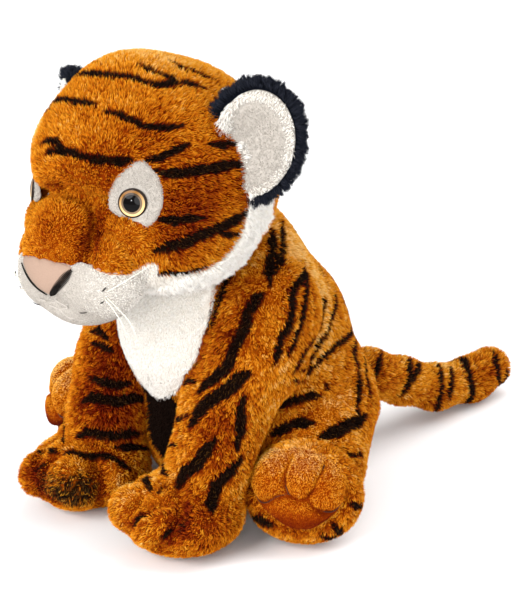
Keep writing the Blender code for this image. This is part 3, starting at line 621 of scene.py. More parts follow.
for _part, _depth, _half, _pts in CREASES:
    _P = seen(FIELDS[_part], _pts)
    creases[_part].append((_depth, _half, _P))
    _other, _Q = to_other(_part, _P)
    creases[_other].append((_depth, _half, _Q))
for _part, _high, _radius, _pixel in LOBES:
    _P = seen(FIELDS[_part], [_pixel])
    lobes[_part].append((_high, _radius, _P[0]))
    _other, _Q = to_other(_part, _P)
    if _pixel[0] > 62 or _part != "head":
        lobes[_other].append((_high, _radius, _Q[0]))


def crease_gap(part, P):
    """Distance to the nearest crease, in shares of its half-width."""
    gap = np.full(len(P), 9.0)
    for depth, half, line in creases[part]:
        d = off_lines(P, [line[:-1], line[1:], np.zeros(len(line) - 1), np.zeros(len(line) - 1)])
        gap = np.minimum(gap, np.maximum(d, 0) / half)
    return gap


def carved(part, P, N):
    """The surface pulled in along the sewn creases and filled out between them."""
    sink = np.zeros(len(P))
    for depth, half, line in creases[part]:
        d = off_lines(P, [line[:-1], line[1:], np.zeros(len(line) - 1), np.zeros(len(line) - 1)])
        sink = np.maximum(sink, depth * np.exp(-((np.maximum(d, 0) / half) ** 2)))
    for high, radius, centre in lobes[part]:
        d = np.linalg.norm(P - centre, axis=1) / radius
        sink -= high * np.clip(1 - d * d, 0, 1)
    return P - N * sink[:, None]


# ------------------------------------------------------------------ regions sewn from other fabric
class Star:
    """A patch seen from a point inside the body, with an outline all round a middle direction."""

    def __init__(self, field, centre, middle, outline, soften=1):
        self.field, self.centre, self.middle = field, np.array(centre, float), unit(np.array(middle, float))
        up = np.array([0, 0, 1.0]) if abs(self.middle[2]) < 0.9 else np.array([0, 1.0, 0])
        self.a = unit(np.cross(up, self.middle))
        self.b = np.cross(self.middle, self.a)
        W = unit(np.asarray(outline, float) - self.centre)
        angle, spread = self.polar(W)
        order = np.argsort(angle)
        angle, spread = angle[order], spread[order]
        grid = np.linspace(-np.pi, np.pi, 145)[:-1]
        wide = np.interp(grid, np.r_[angle - 2 * np.pi, angle, angle + 2 * np.pi], np.tile(spread, 3))
        for _ in range(soften):
            wide = (np.roll(wide, 1) + wide * 2 + np.roll(wide, -1)) / 4
        self.grid, self.wide = grid, wide

    def polar(self, W):
        x, y, z = W @ self.a, W @ self.b, W @ self.middle
        return np.arctan2(y, x), np.arctan2(np.hypot(x, y), z)

    def share(self, P):
        """0 in the middle, 1 on the outline, more outside."""
        angle, spread = self.polar(unit(np.asarray(P, float) - self.centre))
        edge = np.interp(angle, np.r_[self.grid - 2 * np.pi, self.grid, self.grid + 2 * np.pi], np.tile(self.wide, 3))
        return spread / edge

    def grow(self, rings):
        s = np.linspace(0, 1, rings + 1)[1:]
        angle = self.grid
        rim = np.cos(angle)[:, None] * self.a + np.sin(angle)[:, None] * self.b
        ways = [self.middle[None]]
        for k in s:
            spread = (self.wide * k)[:, None]
            ways.append(self.middle * np.cos(spread) + rim * np.sin(spread))
        W = np.concatenate(ways)
        P = march(self.field, self.centre, W, 130, inward=True)[0]
        share = np.r_[0, np.repeat(s, len(angle))]
        return P, share

    def shell(self, rings, lift, part=None, crown=0.0, sink=0.5):
        """A closed piece of fabric with a turned-down rim."""
        P, share = self.grow(rings)
        N = grad(self.field, P)
        if part:
            P = carved(part, P, N)
        n = len(self.grid)
        rise = lift * (1 - share**8 * 0.85) + crown * (1 - share**2)
        V = np.concatenate([P + N * rise[:, None], P - N * sink])
        F = disc_faces(n, rings)
        m = len(P)
        ring = np.arange(n) + 1 + (rings - 1) * n
        nxt = np.roll(ring, -1)
        side = np.stack([ring, ring + m, nxt + m, nxt], 1)
        tri, quad = F
        return V, [tri, tri[:, ::-1] + m], [quad, quad[:, ::-1] + m, side], N


def disc_faces(n, rings):
    first = np.arange(n) + 1
    tri = np.stack([np.zeros(n, int), first, np.roll(first, -1)], 1)
    quads = []
    for k in range(rings - 1):
        a = np.arange(n) + 1 + k * n
        quads.append(np.stack([a, a + n, np.roll(a, -1) + n, np.roll(a, -1)], 1))
    return tri, np.concatenate(quads) if quads else np.zeros((0, 4), int)


def head_front(pairs):
    """Points of the head's surface at these head-frame (x, z), met from the front."""
    q = np.array([(x, -150.0, z) for x, z in pairs])
    return march(head_local, q, np.tile([0, 1.0, 0], (len(q), 1)), 200)[0]


def both(points):
    """The outline with its mirror image, in the head's frame."""
    p = np.asarray(points, float)
    return np.concatenate([p, p * np.array([-1, 1, 1])])


EYE_PIXEL = (133.5, 202.5)
patch_line = to_head(seen(head, [(144, 156), (131, 162), (120, 171), (110, 185), (107, 199), (107, 210), (119, 219), (127, 220), (136, 228), (144, 232), (159, 220), (165, 205), (165, 195), (162, 181), (155, 169), (147, 161)]))
patch_line = patch_line.mean(0) + (patch_line - patch_line.mean(0)) * 0.92


def to_far_eye(q):
    """A place by the left eye moved to the right one, which is sewn a little further back."""
    return (q * np.array([-1, 1, 1])) @ rz(-6).T


eye_local = to_head(seen(head, [EYE_PIXEL]))[0]
patch = {
    "left": Star(head_local, (0, -5, 0), patch_line.mean(0) - np.array([0, -5, 0]), patch_line),
    "right": Star(head_local, (0, -5, 0), to_far_eye(patch_line.mean(0)) - np.array([0, -5, 0]), to_far_eye(patch_line)),
}
nose_line = head_front([(-19, -31.5), (-15, -30), (-9, -29.3), (0, -29.6), (9, -30.8), (15, -32), (19, -33.6), (19, -36), (15, -41), (9, -45.3), (4, -48.6), (0.5, -50.6), (-3, -48.8), (-9, -45), (-14, -41), (-18.5, -36), (-19.8, -33)])
nose = Star(head_local, (0, -55, -40), (0, -1, 0.02), nose_line, 0)
near_edge = to_head(seen(head, [(72, 267), (80, 261), (90, 266), (98, 272), (108, 275), (122, 275), (135, 272), (147, 264), (155, 256), (158, 262)]))
muzzle_line = np.concatenate([both(near_edge), both([(51, -46, -46), (46, -40, -55), (38, -34, -64), (24, -30, -72), (8, -28, -75)]), head_front([(-10, -30), (0, -30), (10, -31)])])
muzzle = Star(head_local, (0, -46, -46), (0, -0.72, -0.70), muzzle_line)
bib_line = march(torso, np.array([(x, -150.0, z) for x, z in [(-46, 166), (-50, 150), (-49, 122), (-37, 97), (-15, 77), (-2, 72), (8, 77), (26, 97), (36, 122), (36, 150), (33, 166), (16, 178), (0, 182), (-22, 178)]]), np.tile([0, 1.0, 0], (14, 1)), 200)[0]
bib = Star(torso, (0, -25, 118), (0, -1, 0.05), bib_line)
sole_line = seen(FIELDS["hindleg_left"], SOLE_EDGE)
sole = {
    "left": Star(FIELDS["hindleg_left"], (82, -24, 32), -(rz(FEET[1][1]) @ rx(FOOT_TILT))[:, 1], sole_line),
    "right": Star(FIELDS["hindleg_right"], to_right_foot(np.array([[82.0, -24, 32]]))[0], -(rz(FEET[-1][1]) @ rx(FOOT_TILT))[:, 1], to_right_foot(sole_line)),
}
# The white band behind the cheek, in the head's (y, z) as seen from either side.
RUFF = np.array([(17, 48), (11, 44), (6.5, 34), (5.5, 18), (5.9, 7), (7.5, -1), (6.7, -15.5), (0.7, -29.7), (-7, -36), (-14.2, -40.1), (-23.3, -43), (-39, -43), (-49, -42), (-50, -95), (14, -95), (16, -56), (22, -42), (30, -26), (33, -6), (30, 16), (24, 44)])


def in_polygon(y, z, poly):
    inside = np.zeros(len(y), bool)
    for (y0, z0), (y1, z1) in zip(poly, np.roll(poly, -1, 0)):
        hit = ((z0 > z) != (z1 > z)) & (y < (y1 - y0) * (z - z0) / (z1 - z0 + 1e-9) + y0)
        inside ^= hit
    return inside


def in_ruff(q):
    return (np.abs(q[:, 0]) > 18) & in_polygon(q[:, 1], q[:, 2], RUFF)


# ------------------------------------------------------------------ materials
def material(name, colour, roughness=0.8, sheen=0.0, coat=0.0, noise=None, bump=0.0, attribute=False, specular=0.3):
    made = bpy.data.materials.new(name)
    made.use_nodes = True
    tree = made.node_tree
    shader = tree.nodes["Principled BSDF"]
    shader.inputs["Roughness"].default_value = roughness
    shader.inputs["Specular IOR Level"].default_value = specular
    shader.inputs["Sheen Weight"].default_value = sheen
    shader.inputs["Sheen Roughness"].default_value = 0.5
    shader.inputs["Coat Weight"].default_value = coat
    shader.inputs["Coat Roughness"].default_value = 0.03
    shader.inputs["Base Color"].default_value = (*colour, 1)
    source = None
    if attribute:
        node = tree.nodes.new("ShaderNodeAttribute")
        node.attribute_name = "tint"
        source = node.outputs["Color"]
    place = tree.nodes.new("ShaderNodeTexCoord")
    if noise:
        scale, low, high = noise
        speck = tree.nodes.new("ShaderNodeTexNoise")
        speck.inputs["Scale"].default_value = scale
        speck.inputs["Detail"].default_value = 5
        tree.links.new(place.outputs["Object"], speck.inputs["Vector"])
        ramp = tree.nodes.new("ShaderNodeMapRange")
        ramp.inputs["To Min"].default_value, ramp.inputs["To Max"].default_value = low, high
        tree.links.new(speck.outputs["Fac"], ramp.inputs["Value"])
        mix = tree.nodes.new("ShaderNodeMix")
        mix.data_type, mix.blend_type = "RGBA", "MULTIPLY"
        mix.inputs["Factor"].default_value = 1
        mix.inputs["A"].default_value = (*colour, 1)
        colour_in = [i for i in mix.inputs if i.type == "RGBA"]
        if source:
            tree.links.new(source, colour_in[0])
        else:
            colour_in[0].default_value = (*colour, 1)
        tree.links.new(ramp.outputs["Result"], colour_in[1])
        source = [o for o in mix.outputs if o.type == "RGBA"][0]
        if bump:
            lump = tree.nodes.new("ShaderNodeBump")
            lump.inputs["Strength"].default_value = bump
            lump.inputs["Distance"].default_value = 0.0004
            tree.links.new(speck.outputs["Fac"], lump.inputs["Height"])
            tree.links.new(lump.outputs["Normal"], shader.inputs["Normal"])
    if source:
        tree.links.new(source, shader.inputs["Base Color"])
    return made


GROUND = material("plush_ground", (1, 1, 1), 0.95, specular=0.02, noise=(900, 0.55, 1.15), bump=0.6, attribute=True)
PILE = material("pile", (1, 1, 1), 0.8, attribute=True, specular=0.05)
PINK = material("pink_velour", (0.33, 0.225, 0.17), 0.85, noise=(1500, 0.85, 1.1), bump=0.8, specular=0.1)
THREAD = material("thread", (0.007, 0.005, 0.004), 0.75, noise=(1800, 0.6, 1.3), bump=0.5, specular=0.08)
BROWN_THREAD = material("brown_thread", (0.05, 0.010, 0.002), 0.7, noise=(1800, 0.6, 1.3), bump=0.5)
PALE_THREAD = material("pale_thread", (0.46, 0.42, 0.38), 0.8, noise=(1800, 0.7, 1.2), bump=0.5)
HAIR = material("whisker", (0.72, 0.69, 0.58), 0.35, noise=(400, 0.9, 1.05), specular=0.5)
EYE = material("eye_glass", (1, 1, 1), 0.06, noise=(700, 0.92, 1.05), attribute=True, specular=0.1)
FILLING = material("filling", (0.86, 0.86, 0.84), 0.95, noise=(220, 0.8, 1.05), bump=0.8)
CANVAS = material("canvas", (0.5, 0.45, 0.36), 0.9, noise=(600, 0.75, 1.1), bump=0.8)
NYLON = material("nylon", (0.78, 0.78, 0.76), 0.45, noise=(300, 0.9, 1.05), bump=0.2)

# Pile colours by class: root, then tip, each root darker than its tip as painted shade deep in the pile. Shades of gold
# from painted shade to painted light, also used for random tone.
GOLD_STEPS = 12
TIP_SHADES = np.array([(0.22, 0.016, 0.0006), (0.50, 0.085, 0.0015), (0.80, 0.255, 0.005), (0.93, 0.44, 0.026), (1.0, 0.67, 0.24)])
ROOT_SHADES = np.array([(0.026, 0.0012, 0.0001), (0.075, 0.0045, 0.0001), (0.22, 0.029, 0.0005), (0.42, 0.105, 0.002), (0.62, 0.28, 0.04)])


def shade_of(table, k):
    return np.array([np.interp(k, np.linspace(0, 1, len(table)), table[:, c]) for c in range(3)])


palette = [(shade_of(ROOT_SHADES, k), shade_of(TIP_SHADES, k)) for k in np.linspace(0, 1, GOLD_STEPS)]
BLACK = len(palette)
palette += [(np.array([0.004, 0.0015, 0.0008]), np.array([0.010, 0.004, 0.002])), (np.array([0.006, 0.002, 0.001]), np.array([0.022, 0.008, 0.003])), (np.array([0.02, 0.006, 0.001]), np.array([0.10, 0.045, 0.008]))]
WHITE = len(palette)
palette += [(np.array([0.55, 0.49, 0.43]), np.array([0.74, 0.67, 0.59])), (np.array([0.66, 0.60, 0.53]), np.array([0.84, 0.78, 0.70])), (np.array([0.78, 0.73, 0.66]), np.array([0.93, 0.89, 0.82])), (np.array([0.84, 0.80, 0.74]), np.array([0.97, 0.95, 0.91]))]
INK = len(palette)
palette += [(np.array([0.004, 0.005, 0.008]), np.array([0.012, 0.014, 0.022])), (np.array([0.008, 0.009, 0.014]), np.array([0.028, 0.031, 0.044]))]
GREY = len(palette)
palette += [(np.array([0.25, 0.21, 0.17]), np.array([0.42, 0.36, 0.30])), (np.array([0.06, 0.05, 0.04]), np.array([0.10, 0.08, 0.06]))]
SOFT = len(palette)
palette += [(np.array([0.34, 0.305, 0.27]), np.array([0.46, 0.42, 0.375])), (np.array([0.40, 0.36, 0.32]), np.array([0.53, 0.49, 0.445])), (np.array([0.47, 0.43, 0.385]), np.array([0.62, 0.575, 0.525]))]
ROOTS = np.array([p[0] for p in palette])
TIPS = np.array([p[1] for p in palette])


# ------------------------------------------------------------------ objects
def new_object(name, V, faces, finish, tint=None, smooth=True, uv=None):
    """A mesh object from points in millimetres and arrays of faces."""
    me = bpy.data.meshes.new(name)
    me.vertices.add(len(V))
    me.vertices.foreach_set("co", (np.asarray(V) * MM).astype(np.float32).ravel())
    flat = np.concatenate([np.asarray(f).ravel() for f in faces]).astype(np.int32)
    sizes = np.concatenate([np.full(len(f), f.shape[1]) for f in faces]).astype(np.int32)
    me.loops.add(len(flat))
    me.loops.foreach_set("vertex_index", flat)
    me.polygons.add(len(sizes))
    me.polygons.foreach_set("loop_start", np.r_[0, np.cumsum(sizes)[:-1]].astype(np.int32))
    me.update(calc_edges=True)
    if uv is not None:
        layer = me.uv_layers.new(name="OFBake")
        layer.data.foreach_set("uv", uv.astype(np.float32).ravel())
    if tint is not None:
        layer = me.color_attributes.new("tint", "FLOAT_COLOR", "POINT")
        layer.data.foreach_set("color", np.concatenate([tint, np.ones((len(tint), 1))], 1).astype(np.float32).ravel())
    me.materials.append(finish)
    if smooth:
        me.shade_smooth()
    obj = bpy.data.objects.new(name, me)
    bpy.context.scene.collection.objects.link(obj)
    return obj


def tube(name, path, radii, finish, sides=8):
    """A closed round thread along a path, with a radius at each point."""
    path = np.asarray(path, float)
    radii = np.broadcast_to(radii, len(path))
    ahead = unit(np.gradient(path, axis=0))
    side = unit(np.cross(ahead, [0.3, 0.2, 0.93]))
    over = np.cross(ahead, side)
    a = np.linspace(0, 2 * np.pi, sides, endpoint=False)
    rings = path[:, None] + radii[:, None, None] * (np.cos(a)[None, :, None] * side[:, None] + np.sin(a)[None, :, None] * over[:, None])
    V = np.concatenate([rings.reshape(-1, 3), path[:1], path[-1:]])
    n = len(path)
    i = np.arange(n - 1)[:, None] * sides + np.arange(sides)
    j = np.arange(n - 1)[:, None] * sides + (np.arange(sides) + 1) % sides
    quads = np.stack([i, j, j + sides, i + sides], -1).reshape(-1, 4)
    k = np.arange(sides)
    caps = np.concatenate([np.stack([np.full(sides, n * sides), (k + 1) % sides, k], 1), np.stack([np.full(sides, n * sides + 1), (n - 1) * sides + k, (n - 1) * sides + (k + 1) % sides], 1)])
    return new_object(name, V, [quads, caps], finish)


def spline(points, count):
    """A smooth path through the points."""
    p = np.asarray(points, float)
    p = np.concatenate([2 * p[:1] - p[1:2], p, 2 * p[-1:] - p[-2:-1]])
    t = np.linspace(0, len(p) - 3 - 1e-9, count)
    i = t.astype(int)
    u = (t - i)[:, None]
    a, b, c, d = p[i], p[i + 1], p[i + 2], p[i + 3]
    return 0.5 * (2 * b + (c - a) * u + (2 * a - 5 * b + 4 * c - d) * u**2 + (3 * b - a - 3 * c + d) * u**3)


# ------------------------------------------------------------------ pile
def scatter(V, quads, per_mm2, tris=None):
    """Random points on the faces, with the face's normal."""
    T = np.concatenate([quads[:, [0, 1, 2]], quads[:, [0, 2, 3]]] + ([tris] if tris is not None else []))
    A, B, C = V[T[:, 0]], V[T[:, 1]], V[T[:, 2]]
    cross = np.cross(B - A, C - A)
    area = np.linalg.norm(cross, axis=1) / 2
    count = int(area.sum() * per_mm2 * (1))
    pick = np.searchsorted(np.cumsum(area) / area.sum(), rng.random(count))
    pick = np.minimum(pick, len(T) - 1)
    u, v = rng.random(count), rng.random(count)
    over = u + v > 1
    u[over], v[over] = 1 - u[over], 1 - v[over]
    P = A[pick] + (B - A)[pick] * u[:, None] + (C - A)[pick] * v[:, None]
    return P, unit(cross[pick])


def grow_pile(name, P, N, comb, length, width, klass, lean, seed, parent, clump=0.45, cell=3.0, stray=0.3, bend=0.55, blotch=0.6):
    """Strands of pile: each a tapered, bent three-sided hair that leans the way the nap is combed."""
    g = np.random.default_rng(seed)
    n = len(P)
    if n == 0:
        return None
    length = np.broadcast_to(length, n) * g.uniform(0.72, 1.15, n)
    width = np.broadcast_to(width, n) * g.uniform(0.8, 1.2, n)
    lean = np.clip(np.broadcast_to(lean, n) + g.normal(0, 0.2, n), 0.05, 1.4)
    way = comb + waves(P, 7.0, seed + 1) * 0.7 + waves(P, 26.0, seed + 2) * 0.35 + g.normal(0, stray, (n, 3))
    T = unit(way - (way * N).sum(1, keepdims=True) * N)
    d0 = unit(N * np.cos(lean * bend)[:, None] + T * np.sin(lean * bend)[:, None])
    late = np.minimum(lean * (2 - bend), 1.5)
    d1 = unit(N * np.cos(late)[:, None] + T * np.sin(late)[:, None])
    start = P - N * 0.5
    mid = start + d0 * (length * 0.5)[:, None]
    tip = mid + d1 * (length * 0.5)[:, None]
    if clump:
        key = np.floor((P + waves(P, 8.0, seed + 3) * cell * 0.5) @ (rx(31) @ ry(17) @ rz(23)) / cell).astype(np.int64)
        code = (key[:, 0] * 73856093) ^ (key[:, 1] * 19349663) ^ (key[:, 2] * 83492791)
        _, group = np.unique(code, return_inverse=True)
        group = group.ravel()
        size = np.bincount(group)
        heart = np.stack([np.bincount(group, tip[:, k]) / size for k in range(3)], 1)[group]
        step = np.round(g.choice([-2.0, -1.2, -0.8, 0, 0, 0.8, 1.2, 2.0], len(size)) * blotch).astype(int)[group]
        klass = np.where(klass < GOLD_STEPS, np.clip(klass + step, 0, GOLD_STEPS - 1), klass)
        pull = clump * g.uniform(0.5, 1.2, n)
        tip = tip + (heart - tip) * np.minimum(pull, 0.8)[:, None]
        mid = mid + (heart - tip) * (pull * 0.22)[:, None]
    e1 = unit(np.cross(d0, N + 0.01))
    e2 = np.cross(d0, e1)
    spin = g.uniform(0, 2.1, n)
    rings = []
    for base, r in ((start, 0.5), (mid, 0.42)):
        for k in range(3):
            a = spin + k * 2 * np.pi / 3
            rings.append(base + (e1 * np.cos(a)[:, None] + e2 * np.sin(a)[:, None]) * (width * r)[:, None])
    V = np.stack([*rings, tip], 1).reshape(-1, 3)
    o = np.arange(n)[:, None] * 7
    quads = np.stack([o + np.array([k, (k + 1) % 3, 3 + (k + 1) % 3, 3 + k]) for k in range(3)], 1).reshape(-1, 4)
    tris = np.stack([o + np.array([3 + k, 3 + (k + 1) % 3, 6]) for k in range(3)], 1).reshape(-1, 3)
    # Each strand painted from dark root to pale tip: painted shade deep in the pile.
    root, end = ROOTS[klass], TIPS[klass]
    middle = root + (end - root) * 0.5
    tint = np.stack([root, root, root, middle, middle, middle, end], 1).reshape(-1, 3)
    cell_x, cell_y = (klass % 8) / 8 + 0.01, (klass // 8) / 8 + 0.01
    span = 0.105
    q_uv = np.array([[(k / 3, 0), ((k + 1) / 3, 0), ((k + 1) / 3, 0.5), (k / 3, 0.5)] for k in range(3)])
    t_uv = np.array([[(k / 3, 0.5), ((k + 1) / 3, 0.5), ((k + 0.5) / 3, 1)] for k in range(3)])
    origin = np.stack([cell_x, cell_y], 1)[:, None, None]
    uv = np.concatenate([(origin + q_uv[None] * span).reshape(-1, 2), (origin + t_uv[None] * span).reshape(-1, 2)])
    obj = new_object(name, V, [quads, tris], PILE, tint, uv=uv)
    obj.parent = parent
    return obj


SHADE = 0.55


def shaded(base, n, g, spread=0.08):
    """Gold classes round a shade from 0 to 1."""
    return np.clip(np.round((base + g.normal(0, spread, n)) * (GOLD_STEPS - 1)), 0, GOLD_STEPS - 1).astype(int)


# Patches of painted light and shade, placed on their parts.
painted_light_zones = {}
for _part, _pixel, _radius, _delta in PAINTED_LIGHT_ZONES:
    painted_light_zones.setdefault(_part, []).append((seen(FIELDS[_part], [_pixel])[0], _radius, _delta))


def painted_shading_at(part, P, gap):
    """How bright the pile is painted here, with painted light and shade: the painted patches, painted shade near a
    crease or where another piece presses on it, and random tone.
    """
    s = np.full(len(P), SHADE)
    for c, r, delta in painted_light_zones.get(part, []):
        s += delta * np.exp(-(((P - c) ** 2).sum(1)) / r**2)
    # Painted shade along the creases and where another piece presses on this one.
    s -= (0.62 if part == "head" else 0.45) * np.exp(-(crease_gap(part, P) ** 2) * 1.2)
    s -= (0.16 if part == "torso" else 0.3) * np.exp(-((np.maximum(gap, 0) / 5.0) ** 2)) * (1 - np.minimum(melted(part, P)[1], 1) * 0.9)
    return s + waves(P, 30.0, 5)[:, 0] * 0.07 + waves(P, 11.0, 7)[:, 0] * 0.05 + waves(P, 4.5, 6)[:, 0] * 0.09


def stripe_share(part, P, N):
    """How black the pile is here, from 0 to 1."""
    facing = (N @ BACK > 0.05) & (part != "hindleg_right")
    d = np.where(facing, off_lines(P, direct[part]), off_lines(P, unseen.get(part)))
    d = d + waves(P, 5.0, 9)[:, 0] * 0.55
    return np.clip(0.5 - d / 1.1, 0, 1)


def comb_of(part, P):
    """Which way the nap lies."""
    n = len(P)
    if part == "head":
        q = to_head(P)
        way = q - np.array([0, -80, -36.0])
        way = way * np.array([1.0, 1.0, 0.9]) + np.array([0, 25.0, 0])
        side = np.clip((np.abs(q[:, 0]) - 30) / 25, 0, 1)[:, None]
        return unit(unit(way) * (1 - side * 0.5) + np.array([0, 0.6, -0.75]) * side * 0.8) @ HEAD_R.T
    if part == "torso":
        return unit(np.stack([P[:, 0] * 0.004, np.full(n, 0.25), np.full(n, -1.0)], 1))
    if part.startswith("foreleg"):
        forward = np.clip((60 - P[:, 2]) / 40, 0, 1)[:, None]
        return unit(np.array([0, -0.25, -1.0]) * (1 - forward) + np.array([0, -1.0, -0.35]) * forward)
    if part.startswith("hindleg"):
        s = 1 if part.endswith("left") else -1
        return unit(np.tile([0.35 * s, -0.5, -0.75], (n, 1)))
    return unit(np.tile([-0.08, 1.0, -0.1], (n, 1)))


def gap_to_others(part, P):
    """Distance to the nearest other stuffed piece, negative inside it."""
    gap = np.full(len(P), 99.0)
    for other, f in FIELDS.items():
        if other == part or (part.startswith("ear") and other != "head") or (other.startswith("ear") and part != "head"):
            continue
        gap = np.minimum(gap, f(P))
    return gap


BOUNDS = {
    "head": ((-76, -172, 118), (80, 12, 292)), "torso": ((-74, -86, -4), (74, 82, 200)), "tail": ((-38, 50, -6), (24, 242, 72)),
    "foreleg_left": ((3, -138, -4), (94, 8, 168)), "hindleg_left": ((-8, -66, -4), (122, 62, 96)),
    "foreleg_right": ((-94, -138, -4), (-3, 8, 168)), "hindleg_right": ((-136, -80, -4), (8, 62, 96)),
}
PITCH = {"head": 2.2, "torso": 3.0, "tail": 2.4, "foreleg": 2.4, "hindleg": 2.4, "ear": 1.4}
DENSITY = 1.8
LENGTH = {"head": 3.5, "torso": 3.7, "tail": 3.6, "foreleg": 3.6, "hindleg": 3.6}
NODES = {
    "head": ["head_skin"], "torso": ["torso_skin"], "tail": ["tail_skin"],
    "foreleg_left": ["foreleg_left_skin"], "foreleg_right": ["foreleg_right_skin"],
    "hindleg_left": ["hindleg_left_skin"], "hindleg_right": ["hindleg_right_skin"],
}


def classes(part, P, N, g, gap):
    """The pile's class and its length here, with a mask of the points that carry none."""
    n = len(P)
    black = stripe_share(part, P, N)
    # Painted light: pile facing upwards is painted a little paler.
    klass = shaded(painted_shading_at(part, P, gap) + 0.1 * rise_to(N[:, 2], 0.55, 1.0), n, g)
    black_now = g.random(n) < black * 1.15 - 0.08
    edge = (black > 0.02) & ~black_now
    klass[edge] = np.maximum(klass[edge] - 4, 0)
    klass[black_now] = BLACK + g.choice(3, black_now.sum(), p=[0.6, 0.32, 0.08])
    length = LENGTH[part.split("_")[0]] * (1 - 0.5 * np.exp(-(crease_gap(part, P) ** 2)))
    length = length * (1 - 0.6 * np.clip(1 - P[:, 2] / 14, 0, 1) * np.clip(-N[:, 2] + 0.3, 0, 1))
    bare = np.zeros(n, bool)
    if part == "head":
        q = to_head(P)
        white = in_ruff(q) | (muzzle.share(q) < 1.0) | ((q[:, 2] < -50) & (q[:, 1] < 26))
        klass[white] = WHITE + g.choice(4, white.sum(), p=[0.1, 0.35, 0.35, 0.2])
        bare = (patch["left"].share(q) < 0.97) | (patch["right"].share(q) < 0.97) | (nose.share(q) < 1.02) | (muzzle.share(q) < 0.97)
        snout = np.exp(-(((q - np.array([0, -78, -28])) ** 2).sum(1)) / 34**2)
        length = length * (1 - 0.5 * snout)
    if part == "torso":
        white = bib.share(P) < 1.0
        klass[white] = WHITE + g.choice(4, white.sum(), p=[0.1, 0.35, 0.35, 0.2])
        bare = bib.share(P) < 0.96
    if part == "foreleg_right":
        spot = seen(FIELDS[part], [(73, 490)])[0]
        d = ((P - spot) * np.array([0.6, 1.0, 1.35])) ** 2
        dark = g.random(n) < 0.95 * np.exp(-((d.sum(1) / 14.5**2) ** 2))
        klass[dark] = BLACK + g.choice(3, dark.sum(), p=[0.15, 0.3, 0.55])
    # Painted shadow: pile painted black on the belly and inner hind legs between the forelegs, where only deep shade
    # falls.
    for pixel, radius in ((162, 405), 19), ((163, 432), 17), ((158, 385), 9):
        if part in ("torso", "hindleg_left", "hindleg_right"):
            spot = seen(torso, [pixel])[0]
            d = np.linalg.norm((P - spot) * np.array([1, 0.6, 1]), axis=1)
            dark = g.random(n) < np.clip((radius - d) / 5 + 0.5, 0, 1)
            klass[dark] = BLACK
    if part.startswith("hindleg"):
        bare = sole[part[8:]].share(P) < 0.96
    return klass, length, bare


# The skin under the pile takes the roots' painted shade, a little darker still under gold and black pile.
def ground_tint(klass):
    pale = (((klass >= WHITE) & (klass < INK)) | (klass >= SOFT))[:, None]
    return np.where(pale, ROOTS[klass] * 0.6 + TIPS[klass] * 0.4, ROOTS[klass] * 0.9)


SKINS = ("head", "torso", "tail", "foreleg_left", "foreleg_right", "hindleg_left", "hindleg_right")


def stuffed():
    """Each skin as a coarse cloth, held at its seams and blown out by its filling: how far each point moves."""
    made = {}
    for part in SKINS:
        V, Q = nets(FIELDS[part], *BOUNDS[part], 5.5)
        N = grad(FIELDS[part], V)
        V = carved(part, V, N)
        obj = new_object("cloth_" + part, V, [Q], GROUND)
        held = np.clip(1.4 - crease_gap(part, V), 0, 1)
        held = np.maximum(held, np.clip(-gap_to_others(part, V) / 3, 0, 1))
        held = np.maximum(held, (V[:, 2] < 2.5).astype(float))
        if part == "head":
            q = to_head(V)
            for star in (patch["left"], patch["right"], muzzle, nose):
                held = np.maximum(held, np.clip(1 - np.abs(star.share(q) - 1) * 4, 0, 1))
        if part == "torso":
            held = np.maximum(held, np.clip(1 - np.abs(bib.share(V) - 1) * 6, 0, 1))
        held = np.maximum(held, np.exp(-((V[:, 0] - middle_line(part, V)) ** 2) / 9.0) * 0.8 * (N[:, 1] > -0.3))
        group = obj.vertex_groups.new(name="seam")
        for step in range(11):
            chosen = np.flatnonzero(np.round(held * 10) == step)
            if len(chosen) and step:
                group.add(chosen.tolist(), step / 10, "REPLACE")
        cloth = obj.modifiers.new("cloth", "CLOTH")
        cloth.settings.quality = 4
        cloth.settings.mass = 0.25
        cloth.settings.tension_stiffness = cloth.settings.compression_stiffness = 12
        cloth.settings.shear_stiffness = 4
        cloth.settings.bending_stiffness = 0.3
        cloth.settings.use_pressure = True
        cloth.settings.uniform_pressure_force = 4
        cloth.settings.vertex_group_mass = "seam"
        cloth.settings.effector_weights.gravity = 0
        cloth.collision_settings.use_collision = False
        made[part] = (obj, V, N)
    scene = bpy.context.scene
    for number in range(1, 21):
        scene.frame_set(number)
    graph = bpy.context.evaluated_depsgraph_get()
    out = {}
    for part, (obj, V, N) in made.items():
        blown = obj.evaluated_get(graph).to_mesh()
        W = np.empty(len(V) * 3, np.float32)
        blown.vertices.foreach_get("co", W)
        rise = ((W.reshape(-1, 3) / MM - V) * N).sum(1)
        rise = np.clip(rise, -2.5, 2.5)
        out[part] = (V, rise - np.percentile(rise, 70))
        obj.evaluated_get(graph).to_mesh_clear()
        mesh = obj.data
        bpy.data.objects.remove(obj)
        bpy.data.meshes.remove(mesh)
    scene.frame_set(1)
    return out


def middle_line(part, V):
    """Where the seam runs over the middle of a piece, in x."""
    if part in ("head", "torso"):
        return np.zeros(len(V))
    if part == "tail":
        return np.interp(V[:, 1], [t[1] for t in TAIL], [t[0] for t in TAIL])
    s = 1 if part.endswith("left") else -1
    return np.full(len(V), (52.0 if part.startswith("fore") else 60.0) * s)


blown = stuffed()


def filled(part, V, N):
    """The fine surface moved as the cloth moved near it."""
    if part not in blown:
        return V
    C, rise = blown[part]
    out = np.empty(len(V))
    for i in range(0, len(V), 2000):
        d = ((V[i : i + 2000, None] - C) ** 2).sum(-1)
        near = np.argpartition(d, 5, axis=1)[:, :5]
        w = 1 / (np.take_along_axis(d, near, 1) + 2.0)
        out[i : i + 2000] = (rise[near] * w).sum(1) / w.sum(1)
    return V + N * out[:, None]


